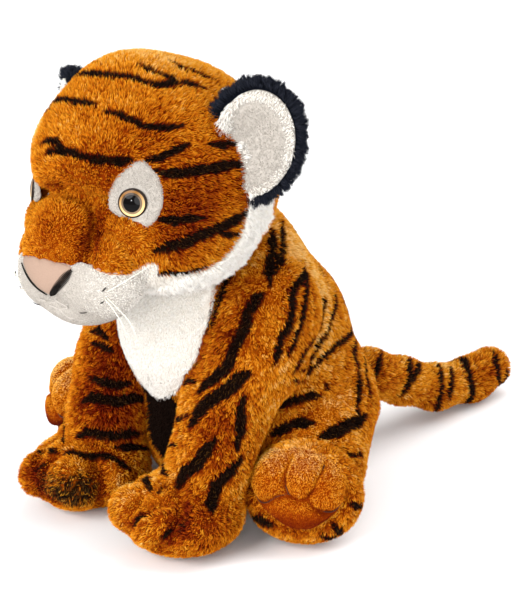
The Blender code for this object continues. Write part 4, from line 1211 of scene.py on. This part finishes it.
skins = {}
for part in ("head", "torso", "tail", "foreleg_left", "foreleg_right", "hindleg_left", "hindleg_right"):
    kind = part.split("_")[0]
    seed = sum(ord(c) for c in part) * 7
    g = np.random.default_rng(seed)
    V, Q = nets(FIELDS[part], *BOUNDS[part], PITCH[kind])
    N = grad(FIELDS[part], V)
    V = filled(part, carved(part, V, N), N) + N * melted(part, V)[0][:, None]
    klass, _, _ = classes(part, V, N, g, gap_to_others(part, V))
    skin = new_object(part, V, [Q], GROUND, ground_tint(klass))
    skins[part] = skin
    P, FN = scatter(V, Q, DENSITY)
    N = FN
    gap = gap_to_others(part, P)
    klass, length, bare = classes(part, P, N, g, gap)
    deep = -gap
    low = P[:, 2] < 0.8
    keep = (deep < 9) & ~bare & ~low
    P, N, klass, length, deep = P[keep], N[keep], klass[keep], length[keep], deep[keep]
    length = np.where(deep > 0.5, length * 0.45, length)
    grow_pile(part + "_pile", P, N, comb_of(part, P), length, 0.46, klass, 0.55, seed, skin, clump=0.35 if part == "head" else 0.6, cell=1.8 if part == "head" else 2.7, blotch=0.45 if part == "head" else 1.0)
    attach(skin, BODY[part])
    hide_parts(*NODES[part])
    if part != "torso":
        deep_by = 4.0
        V, Q = nets(lambda P: FIELDS[part](P) + deep_by, *BOUNDS[part], 4.5)
        N = grad(FIELDS[part], V)
        V = filled(part, carved(part, V + N * deep_by, N), N) - N * deep_by
        core = new_object(part + "_filling", V, [Q], FILLING)
        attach(core, BODY[part])
        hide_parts(part + "_stuffing")

# ------------------------------------------------------------------ face panels
def panel(name, star, rings, lift, finish, tint, nodes, body, to_world=None, part=None, crown=0.0, fill=0.3, sink=0.5):
    V, tris, quads, N = star.shell(rings, lift, part, crown, sink)
    W = to_world(V) if to_world else V
    obj = new_object(name, W, [*tris, *quads], finish, np.tile(tint, (len(W), 1)) if tint is not None else None)
    m = len(W) // 2
    return obj, W[:m], tris[0], quads[0]


def outward(obj):
    """Faces turned to point out of the closed mesh."""
    import bmesh

    bm = bmesh.new()
    bm.from_mesh(obj.data)
    bmesh.ops.recalc_face_normals(bm, faces=bm.faces)
    bm.to_mesh(obj.data)
    bm.free()


def finish_panel(obj, body, nodes):
    outward(obj)
    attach(obj, body)
    if nodes:
        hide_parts(*nodes)


def panel_pile(obj, W, tris, quads, centre, density, **how):
    P, N = scatter(W, quads, density, tris)
    N = np.where(((P - centre) * N).sum(1, keepdims=True) < 0, -N, N)
    return P, N


WHITE_TINT = ROOTS[WHITE + 1]
for side, s in SIDE.items():
    obj, W, tr, qu = panel("eye_patch_" + side, patch[side], 10, 0.9, GROUND, TIPS[SOFT], None, "head", from_head)
    P, N = panel_pile(obj, W, tr, qu, HEAD_C, 3.4)
    g = np.random.default_rng(31 + s)
    away = to_head(P) - (eye_local if s > 0 else to_far_eye(eye_local) @ rz(-3).T + np.array([0, 0, -3.0]))
    far = np.linalg.norm(away, axis=1)
    keep = far > 9.2
    P, N, away = P[keep], N[keep], away[keep]
    comb = unit(away * 0.6 + np.array([0, 8.0, 8.0])) @ HEAD_R.T
    klass = SOFT + g.choice(3, len(P), p=[0.3, 0.4, 0.3])
    grow_pile(f"eye_patch_{side}_pile", P, N, comb, 1.7, 0.36, klass, 0.7, 310 + s, obj, clump=0.3, cell=1.5)
    finish_panel(obj, "head", ["eye_patch_" + side])

obj, W, tr, qu = panel("muzzle_panel", muzzle, 26, 0.9, GROUND, TIPS[SOFT], None, "head", from_head)
muzzle_seams = to_head(seen(head, [(50, 303), (60, 308), (70, 316), (85, 319), (92, 321)]))
P, N = panel_pile(obj, W, tr, qu, from_head([0, -46, -46]), 3.2)
q = to_head(P)
keep = nose.share(q) > 0.97
P, N, q = P[keep], N[keep], q[keep]
g = np.random.default_rng(41)
klass = SOFT + g.choice(3, len(P), p=[0.2, 0.4, 0.4])
pale = g.random(len(P)) < np.clip((np.abs(q[:, 0]) - 22) / 20, 0, 0.85)
klass[pale] = WHITE + 2 + (g.random(pale.sum()) < 0.7)
seam = off_lines(q, joined([muzzle_seams[:-1], muzzle_seams[1:], np.full(4, 0.2), np.full(4, 0.2)], [flip[:-1], flip[1:], np.full(4, 0.2), np.full(4, 0.2)])) if (flip := muzzle_seams * np.array([-1, 1, 1])) is not None else None
klass[(seam < 0.5) & (g.random(len(P)) < 0.6)] = GREY
comb = unit((q - np.array([0, -88, -44.0])) * np.array([1, 1, 0.8]) + np.array([0, 4, -6.0])) @ HEAD_R.T
length = 1.5 + 2.6 * np.clip((q[:, 1] + 52) / 20, 0, 1)
length = np.where(seam < 1.0, 0.9, length)
grow_pile("muzzle_pile", P, N, comb, length, 0.36, klass, 0.75, 410, obj, clump=0.35, cell=1.8)
finish_panel(obj, "head", ["muzzle_panel"])

# Whisker spots: short dashes of thread, darker where the stitches are doubled.
SPOTS = [((102.0, 290.5), (106.0, 286.5), 0.42, 1), ((100.5, 301.5), (104.0, 299.5), 0.36, 1), ((81, 310.2), (88, 309.8), 0.3, 1), ((85.5, 298), (88, 298.4), 0.3, 0), ((67.5, 302), (70.5, 302), 0.3, 0)]
for number, (first, last, thick, dark) in enumerate(SPOTS):
    ends = to_head(seen(head, [first, last]))
    for side, s in SIDE.items():
        line = np.linspace(ends[0], ends[1], 5) * np.array([s, 1, 1])
        path = line + grad(head_local, line) * (1.75 + 0.25 * np.sin(np.linspace(0, np.pi, 5)))[:, None]
        spot = tube(f"whisker_spot_{side}_{number}", from_head(path), np.array([0.5, 1, 1, 1, 0.5]) * thick, THREAD if dark else PALE_THREAD)
        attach(spot, "head")

obj, W, tr, qu = panel("nose_patch", nose, 12, 1.5, PINK, None, None, "head", from_head, crown=1.4, sink=0.6)
finish_panel(obj, "head", ["nose_patch"])


def on_nose(points, lift):
    q = head_front(points)
    n = grad(head_local, q)
    share = np.minimum(nose.share(q), 1)
    return q + n * (1.5 + 1.4 * (1 - share**2) + lift)[:, None]


# Nostrils: satin stitch, a row of short threads laid across each slit.
for side, s in SIDE.items():
    path = np.array([(19.2, -35.0), (16.2, -38.4), (12.4, -42.0), (8.4, -45.2), (4.6, -47.9), (1.8, -49.6)]) * np.array([s, 1])
    half = np.array([1.1, 2.5, 2.4, 1.9, 1.4, 0.7]) if s > 0 else np.array([0.6, 1.5, 1.9, 1.7, 1.2, 0.5])
    fine = spline(np.c_[path, half], 30)
    along = unit(np.gradient(fine[:, :2], axis=0))
    across = np.stack([-along[:, 1], along[:, 0]], 1)
    V_all, F_q, F_t, count = [], [], [], 0
    for k in range(30):
        ends = np.linspace(-1, 1, 5)[:, None] * across[k] * fine[k, 2] + fine[k, :2]
        base = on_nose(ends, 0.0) + grad(head_local, head_front(ends)) * (0.30 * (1 - np.linspace(-1, 1, 5) ** 2))[:, None]
        r = np.array([0.16, 0.34, 0.38, 0.34, 0.16])
        ahead = unit(np.gradient(base, axis=0))
        up_ = unit(np.cross(ahead, np.r_[along[k], 0][[0, 2, 1]]))
        side_ = np.cross(ahead, up_)
        a = np.linspace(0, 2 * np.pi, 6, endpoint=False)
        ring = base[:, None] + r[:, None, None] * (np.cos(a)[None, :, None] * up_[:, None] + np.sin(a)[None, :, None] * side_[:, None])
        V_all.append(np.concatenate([ring.reshape(-1, 3), base[:1] - ahead[:1] * 0.1, base[-1:] + ahead[-1:] * 0.1]))
        i = (np.arange(4)[:, None] * 6 + np.arange(6)).ravel()
        j = (np.arange(4)[:, None] * 6 + (np.arange(6) + 1) % 6).ravel()
        F_q.append(np.stack([i, j, j + 6, i + 6], 1) + count)
        m = np.arange(6)
        F_t.append(np.concatenate([np.stack([np.full(6, 30), (m + 1) % 6, m], 1), np.stack([np.full(6, 31), 24 + m, 24 + (m + 1) % 6], 1)]) + count)
        count += 32
    obj = new_object("nostril_stitch_" + side, from_head(np.concatenate(V_all)), [np.concatenate(F_q), np.concatenate(F_t)], THREAD)
    outward(obj)
    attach(obj, "head")
    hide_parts("nostril_stitch_" + side)

# Mouth: one pale thread pulled into the muzzle.
near = muzzle_seams + grad(head_local, muzzle_seams) * 1.0
stem = head_front([(0.3, -52.5), (0.2, -55.0)])
stem = stem + grad(head_local, stem) * 1.0
for number, pts in enumerate((np.concatenate([stem, near]), np.concatenate([stem, near * np.array([-1, 1, 1])]))):
    path = spline(pts, 26)
    q = path.copy()
    obj = tube(f"mouth_stitch_{number}", from_head(path), 0.38, PALE_THREAD)
    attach(obj, "head")
    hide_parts("mouth_stitch")

# ------------------------------------------------------------------ eyes
for side, s in SIDE.items():
    at = eye_local if s > 0 else to_far_eye(eye_local) @ rz(-3).T + np.array([0, 0, -3.0])
    at = march(head_local, np.zeros(3), at[None], 120, inward=True)[0][0]
    n = grad(head_local, at[None])[0]
    at = at - n * (0.0 if s > 0 else 1.3)
    z = unit(n + 0.6 * unit(at))
    x = unit(np.cross(np.array([0, 0, 1.0]), z))
    y = np.cross(z, x)
    radius = np.array([0, 1.2, 2.4, 3.6, 4.4, 4.75, 4.85, 5.4, 5.9, 6.0, 6.6, 7.15, 7.25, 7.7, 8.1, 8.2, 8.2, 7.8])
    height = np.r_[4.3 * np.sqrt(np.clip(1 - (radius[:13] / 9.2) ** 2, 0, 1)) - 0.1, 2.6, 2.2, 1.6, 0.2, -1.5]
    height[12] = 2.62
    turns = 64
    a = np.linspace(0, 2 * np.pi, turns, endpoint=False)
    local = [np.array([[0, 0, height[0]]])]
    for r, h in zip(radius[1:], height[1:]):
        local.append(np.stack([r * np.cos(a), r * np.sin(a), np.full(turns, h)], 1))
    L = np.concatenate(local)
    r_all = np.hypot(L[:, 0], L[:, 1])
    # Painted light: the iris rings are painted brighter towards their lower side.
    painted_light_below = np.clip(0.5 - L[:, 1] / np.maximum(r_all, 1) * 0.62 + L[:, 0] / np.maximum(r_all, 1) * 0.1 * s, 0, 1)[:, None]
    amber = np.array([0.22, 0.10, 0.028]) * (1 - painted_light_below) + np.array([0.82, 0.55, 0.25]) * painted_light_below
    smoke = np.array([0.05, 0.035, 0.025]) * (1 - painted_light_below) + np.array([0.22, 0.15, 0.09]) * painted_light_below
    tint = np.where((r_all < 4.8)[:, None], np.array([0.0015, 0.001, 0.001]), smoke)
    tint = np.where((r_all > 5.95)[:, None], amber, tint)
    tint = np.where((r_all > 7.2)[:, None], np.array([0.018, 0.011, 0.008]), tint)
    W = from_head(at + L @ np.stack([x, y, z]) + z * 0.7)
    tri, quad = disc_faces(turns, len(radius) - 1)
    bottom = W[-turns:].mean(0)
    last = np.arange(len(W) - turns, len(W))
    base = np.stack([np.full(turns, len(W)), np.roll(last, -1), last], 1)
    obj = new_object("safety_eye_" + side, np.concatenate([W, bottom[None]]), [tri, quad, base], EYE, np.concatenate([tint, tint[-1:]]))
    outward(obj)
    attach(obj, "head")
    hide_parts("safety_eye_" + side)

# ------------------------------------------------------------------ ruff behind the cheeks and under the chin
V, Q = nets(head, *BOUNDS["head"], 2.4)
q = to_head(V)
N = grad(head, V)
for side, s in SIDE.items():
    chosen = in_ruff(q) & (q[:, 0] * s > 0) & (q[:, 2] > -56) & (q[:, 1] > -40)
    faces = Q[chosen[Q].all(1)]
    used, index = np.unique(faces, return_inverse=True)
    faces = index.reshape(-1, 4)
    top = V[used] + N[used] * 1.3
    low = V[used] - N[used] * 0.5
    m = len(used)
    edges = np.concatenate([faces[:, [0, 1]], faces[:, [1, 2]], faces[:, [2, 3]], faces[:, [3, 0]]])
    key = np.sort(edges, 1)
    _, inverse, times = np.unique(key, axis=0, return_inverse=True, return_counts=True)
    rim = edges[times[inverse.ravel()] == 1]
    wall = np.stack([rim[:, 1], rim[:, 0], rim[:, 0] + m, rim[:, 1] + m], 1)
    on_rim = np.unique(rim)
    top[on_rim] -= N[used][on_rim] * 0.9
    obj = new_object("ruff_" + side, np.concatenate([top, low]), [faces, faces[:, ::-1] + m, wall], GROUND, np.tile(ROOTS[WHITE + 2], (2 * m, 1)))
    P, FN = scatter(top, faces, 2.4)
    g = np.random.default_rng(61 + s)
    p = to_head(P)
    out = np.tile([0.15 * s, 0.55, -0.75], (len(P), 1))
    comb = unit(out) @ HEAD_R.T
    upper = np.clip((p[:, 2] + 5) / 30, 0, 1)
    length = (5.4 + 0.6 * upper) * (1 + 0.4 * waves(P, 8.0, 63)[:, 0])
    klass = WHITE + g.choice(4, len(P), p=[0.0, 0.0, 0.25, 0.75])
    keep = gap_to_others("head", P) > -6
    grow_pile(f"ruff_{side}_pile", P[keep], FN[keep], comb[keep], length[keep], 0.52, klass[keep], 0.62, 610 + s, obj, clump=0.7, cell=4.2, stray=0.3)
    finish_panel(obj, "head", ["ruff_" + side])

# ------------------------------------------------------------------ chest bib and soles
obj, W, tr, qu = panel("chest_bib", bib, 22, 1.0, GROUND, ROOTS[WHITE + 2], None, "torso")
P, N = panel_pile(obj, W, tr, qu, np.array([0, -25, 118.0]), 2.6)
g = np.random.default_rng(71)
deep = -gap_to_others("torso", P)
keep = deep < 9
P, N, deep = P[keep], N[keep], deep[keep]
klass = WHITE + g.choice(4, len(P), p=[0.0, 0.0, 0.2, 0.8])
grow_pile("chest_bib_pile", P, N, unit(np.tile([0, -0.1, -1.0], (len(P), 1))), np.where(deep > 0.5, 1.6, 2.6), 0.42, klass, 0.8, 710, obj, clump=0.4, cell=2.6)
finish_panel(obj, "torso", ["chest_bib"])

for side, s in SIDE.items():
    part = "hindleg_" + side
    obj, W, tr, qu = panel("sole_pad_" + side, sole[side], 22, 1.0, GROUND, ROOTS[5], None, part, part=part)
    P, N = panel_pile(obj, W, tr, qu, np.array([82.0 * s, -24, 32.0]) if s > 0 else to_right_foot(np.array([[82.0, -24, 32]]))[0], 3.6)
    g = np.random.default_rng(81 + s)
    # Painted light and shade: the pad is painted darker towards the floor, paler along its top rim and darker in the
    # toe creases, with random tone.
    low = np.clip((FEET[s][0][2] + 2 - P[:, 2]) / 14, 0, 1)
    base = SHADE + 0.02 - 0.85 * low + 0.3 * rise_to(P[:, 2], 44, 58) + waves(P, 20, 82)[:, 0] * 0.05 + waves(P, 4.0, 83)[:, 0] * 0.05 - 0.5 * np.exp(-(crease_gap(part, P) ** 2))
    klass = shaded(base, len(P), g, 0.07)
    keep = P[:, 2] > 0.8
    grow_pile(f"sole_pad_{side}_pile", P[keep], N[keep], unit(np.tile([0.2 * s, -0.1, -1.0], (keep.sum(), 1))), 1.5, 0.34, klass[keep], 0.6, 810 + s, obj, clump=0.3, cell=1.3)
    finish_panel(obj, part, ["sole_pad_" + side])
    for number, (depth, half, line) in enumerate(c for c in creases[part] if c[1] < 2):
        n = grad(FIELDS[part], line)
        path = spline(line - n * (depth - 1.5), 18)
        stitch = tube(f"toe_stitch_{side}_{number}", path, 0.45, BROWN_THREAD)
        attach(stitch, part)
        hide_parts("toe_stitch_" + side)

# ------------------------------------------------------------------ ears
for side, (centre, R, s) in EARS.items():
    field = FIELDS["ear_" + side]
    middle = from_ear([0, 0, 0], side)
    V, Q = nets(field, middle - 46, middle + 46, PITCH["ear"])
    obj = new_object("ear_" + side, V, [Q], GROUND, np.tile(ROOTS[INK], (len(V), 1)))
    g = np.random.default_rng(91 + s)
    P, N = scatter(V, Q, 3.2)
    e = to_ear(P, side)
    ring = np.hypot(e[:, 0] / EAR_HALF, e[:, 2] / EAR_HIGH)
    front = (((N @ HEAD_R) @ R)[:, 1] < 0.1) & (ring < 0.93)
    deep = -gap_to_others("ear_" + side, P)
    keep = ~front & (deep < 6)
    P, N, e, ring, deep = P[keep], N[keep], e[keep], ring[keep], deep[keep]
    out = unit(np.stack([e[:, 0] * 1.2, np.full(len(e), 6.0), e[:, 2]], 1))
    comb = out @ R.T @ HEAD_R.T
    length = np.where(ring > 0.8, 6.8, 5.5) * (1 + 0.4 * waves(P, 7.0, 93)[:, 0])
    length = np.where(deep > 0.5, 3.0, length)
    klass = INK + (g.random(len(P)) < 0.35)
    grow_pile(f"ear_{side}_pile", P, N, comb, length, 0.5, klass, 0.55, 910 + s, obj, clump=0.75, cell=3.2, stray=0.5)
    # Lining: white short pile over the hollow, its rim turned in.
    n, rings = 96, 14
    a = np.linspace(0, 2 * np.pi, n, endpoint=False)
    ks = np.linspace(0, 1, rings + 1)[1:]
    flat = [np.zeros((1, 2))] + [np.stack([np.cos(a) * EAR_HALF * np.where(np.cos(a) * s > 0, 0.93, 0.86), np.sin(a) * EAR_HIGH * 0.93 - 0.6], 1) * k for k in ks]
    flat = np.concatenate(flat)
    start = np.c_[flat[:, 0], np.full(len(flat), -12.0), flat[:, 1]]
    L = march(lambda q: -ear_local(q, s), start, np.tile([0, 1.0, 0], (len(flat), 1)), 20, steps=120, inward=True)[0]
    gn = grad(lambda q: ear_local(q, s), L)
    share = np.r_[0, np.repeat(ks, n)]
    rise = 0.9 * (1 - 0.85 * share**8)
    top = from_ear(L + gn * rise[:, None], side)
    low = from_ear(L - gn * 0.4, side)
    tri, quad = disc_faces(n, rings)
    m = len(L)
    edge = np.arange(n) + 1 + (rings - 1) * n
    wall = np.stack([edge, edge + m, np.roll(edge, -1) + m, np.roll(edge, -1)], 1)
    lining = new_object("ear_lining_" + side, np.concatenate([top, low]), [tri, tri[:, ::-1] + m, quad, quad[:, ::-1] + m, wall], GROUND, np.tile(TIPS[SOFT], (2 * m, 1)))
    P, N = scatter(top, quad, 2.3, tri)
    front_way = from_ear([[0, -1.0, 0]], side) - from_ear([[0, 0, 0]], side)
    N = np.where((N @ front_way[0])[:, None] < 0, -N, N)
    e = to_ear(P, side)
    comb = unit(np.stack([e[:, 0] * 0.5 + 6 * s, np.full(len(e), 0.0), e[:, 2] + 16], 1)) @ R.T @ HEAD_R.T
    klass = SOFT + g.choice(3, len(P), p=[0.3, 0.4, 0.3])
    keep = gap_to_others("ear_" + side, P) > -6
    margin = np.clip((-e[:, 0] * s - 11) / 8, 0, 1)
    brim = rise_to(np.hypot(e[:, 0] / EAR_HALF, (e[:, 2] + 0.6) / EAR_HIGH), 0.66, 0.84)
    long = 2.0 + 2.6 * margin + 0.9 * brim
    klass = np.where(g.random(len(P)) < brim, WHITE + 2 + (g.random(len(P)) < 0.6), klass)
    klass = np.where(g.random(len(P)) < margin, WHITE + 3, klass)
    inward = -unit(np.stack([e[:, 0], np.full(len(e), 0.01), e[:, 2]], 1)) @ R.T @ HEAD_R.T
    comb = unit(comb * (1 - brim)[:, None] + inward * brim[:, None])
    comb = unit(comb * (1 - margin)[:, None] + (np.array([0.35 * s, -0.2, -1.0]) @ R.T @ HEAD_R.T) * margin[:, None])
    grow_pile(f"ear_lining_{side}_pile", P[keep], N[keep], comb[keep], long[keep], 0.42, klass[keep], 0.75, 950 + s, lining, clump=0.35, cell=2.0)
    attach(obj, "ear_" + side)
    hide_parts("ear_back_" + side)
    finish_panel(lining, "ear_" + side, ["ear_lining_" + side])

# ------------------------------------------------------------------ whiskers
WHISKERS = [
    ("left_1", [(104, 295), (120, 285), (137, 274), (151, 264)], (1, 10, 15, 18)),
    ("left_2", [(105, 297), (118, 309), (128, 320), (134, 332), (136, 342)], (1, 8, 12, 14, 15)),
    ("left_3", [(103, 298), (115, 312), (122, 325), (126, 340)], (1, 7, 10, 12)),
    ("right_1", [(24, 286), (17, 276), (8, 264), (1, 254)], (0, 4, 8, 10)),
    ("right_2", [(24, 289), (17, 290), (10, 291), (3, 294)], (0, 4, 8, 10)),
    ("right_3", [(24, 288), (18, 279), (10, 272), (2, 268)], (0, 5, 9, 12)),
]
for name, pixels, nearer in WHISKERS:
    root = seen(head, pixels[:1])[0]
    base_depth = depth_of(root)
    pts = [root] + [unproject(p, base_depth + d) for p, d in zip(pixels[1:], nearer[1:])]
    pts[0] = root - grad(head, root[None])[0] * 1.5
    path = spline(pts, 26)
    path[:, :] += waves(path, 40, 21)[:, :] * np.linspace(0, 0.8, 26)[:, None]
    obj = tube("whisker_" + name, path, np.linspace(0.36, 0.12, 26), HAIR, 6)
    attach(obj, "head")
    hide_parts("whisker_" + name)

# ------------------------------------------------------------------ what the skins hold
INSIDE = {"stuffing": FILLING, "pouch": CANVAS, "washer": NYLON}
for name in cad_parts:
    for word, finish in INSIDE.items():
        if word in name:
            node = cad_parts[name]
            if node.data.materials:
                node.data.materials[0] = finish
            else:
                node.data.materials.append(finish)

# ------------------------------------------------------------------ studio
floor = new_object("studio_floor", np.array([(-3000, -3000, 0), (3000, -3000, 0), (3000, 3000, 0), (-3000, 3000, 0)], float), [np.array([[0, 1, 2, 3]])], material("studio_floor", (0.93, 0.93, 0.93), 0.9, noise=(3, 0.99, 1.0)), smooth=False)

world = bpy.data.worlds.new("studio")
bpy.context.scene.world = world
world.use_nodes = True
world.node_tree.nodes["Background"].inputs["Color"].default_value = (1, 1, 1, 1)
world.node_tree.nodes["Background"].inputs["Strength"].default_value = 0.74


def sun(name, azimuth, elevation, power, spread):
    """A broad soft light from far away; azimuth from the front towards the tiger's left."""
    data = bpy.data.lights.new(name, "SUN")
    data.energy, data.angle = power, math.radians(spread)
    obj = bpy.data.objects.new(name, data)
    az, el = math.radians(azimuth), math.radians(elevation)
    way = Vector((math.sin(az) * math.cos(el), -math.cos(az) * math.cos(el), math.sin(el)))
    obj.location = way * 1.5
    obj.rotation_mode = "QUATERNION"
    obj.rotation_quaternion = way.to_track_quat("Z", "Y")
    bpy.context.scene.collection.objects.link(obj)


def lamp(name, at, aim, size, power):
    data = bpy.data.lights.new(name, "AREA")
    data.shape, data.size, data.energy = "DISK", size, power
    obj = bpy.data.objects.new(name, data)
    obj.location = Vector(at)
    obj.rotation_mode = "QUATERNION"
    obj.rotation_quaternion = (Vector(at) - Vector(aim)).to_track_quat("Z", "Y")
    bpy.context.scene.collection.objects.link(obj)


sun("key", 8, 31, 2.9, 35)
sun("back", 160, 58, 2.0, 60)
sun("front", 48, 12, 1.35, 30)
glass = from_head(eye_local)
facing = unit(unit(grad(head_local, eye_local[None])[0] + 0.6 * unit(eye_local)) @ HEAD_R.T + np.array([0, 0, 0.10]))
seen_from = unit(EYE_POINT - glass)
catch = glass * MM + (2 * (facing @ seen_from) * facing - seen_from) * 0.9
lamp("catch", catch, glass * MM, 0.05, 1.0)

camera = bpy.data.cameras.new("camera")
camera.sensor_width = 36.0
camera.lens = FOCAL / 600 * 36.0
camera.clip_start, camera.clip_end = 0.1, 20
cam = bpy.data.objects.new("camera", camera)
cam.location = Vector(EYE_POINT * MM)
cam.rotation_mode = "QUATERNION"
cam.rotation_quaternion = Matrix((RIGHT, UP, BACK)).transposed().to_quaternion()
bpy.context.scene.collection.objects.link(cam)
bpy.context.scene.camera = cam
bpy.context.scene.view_settings.view_transform = "Standard"
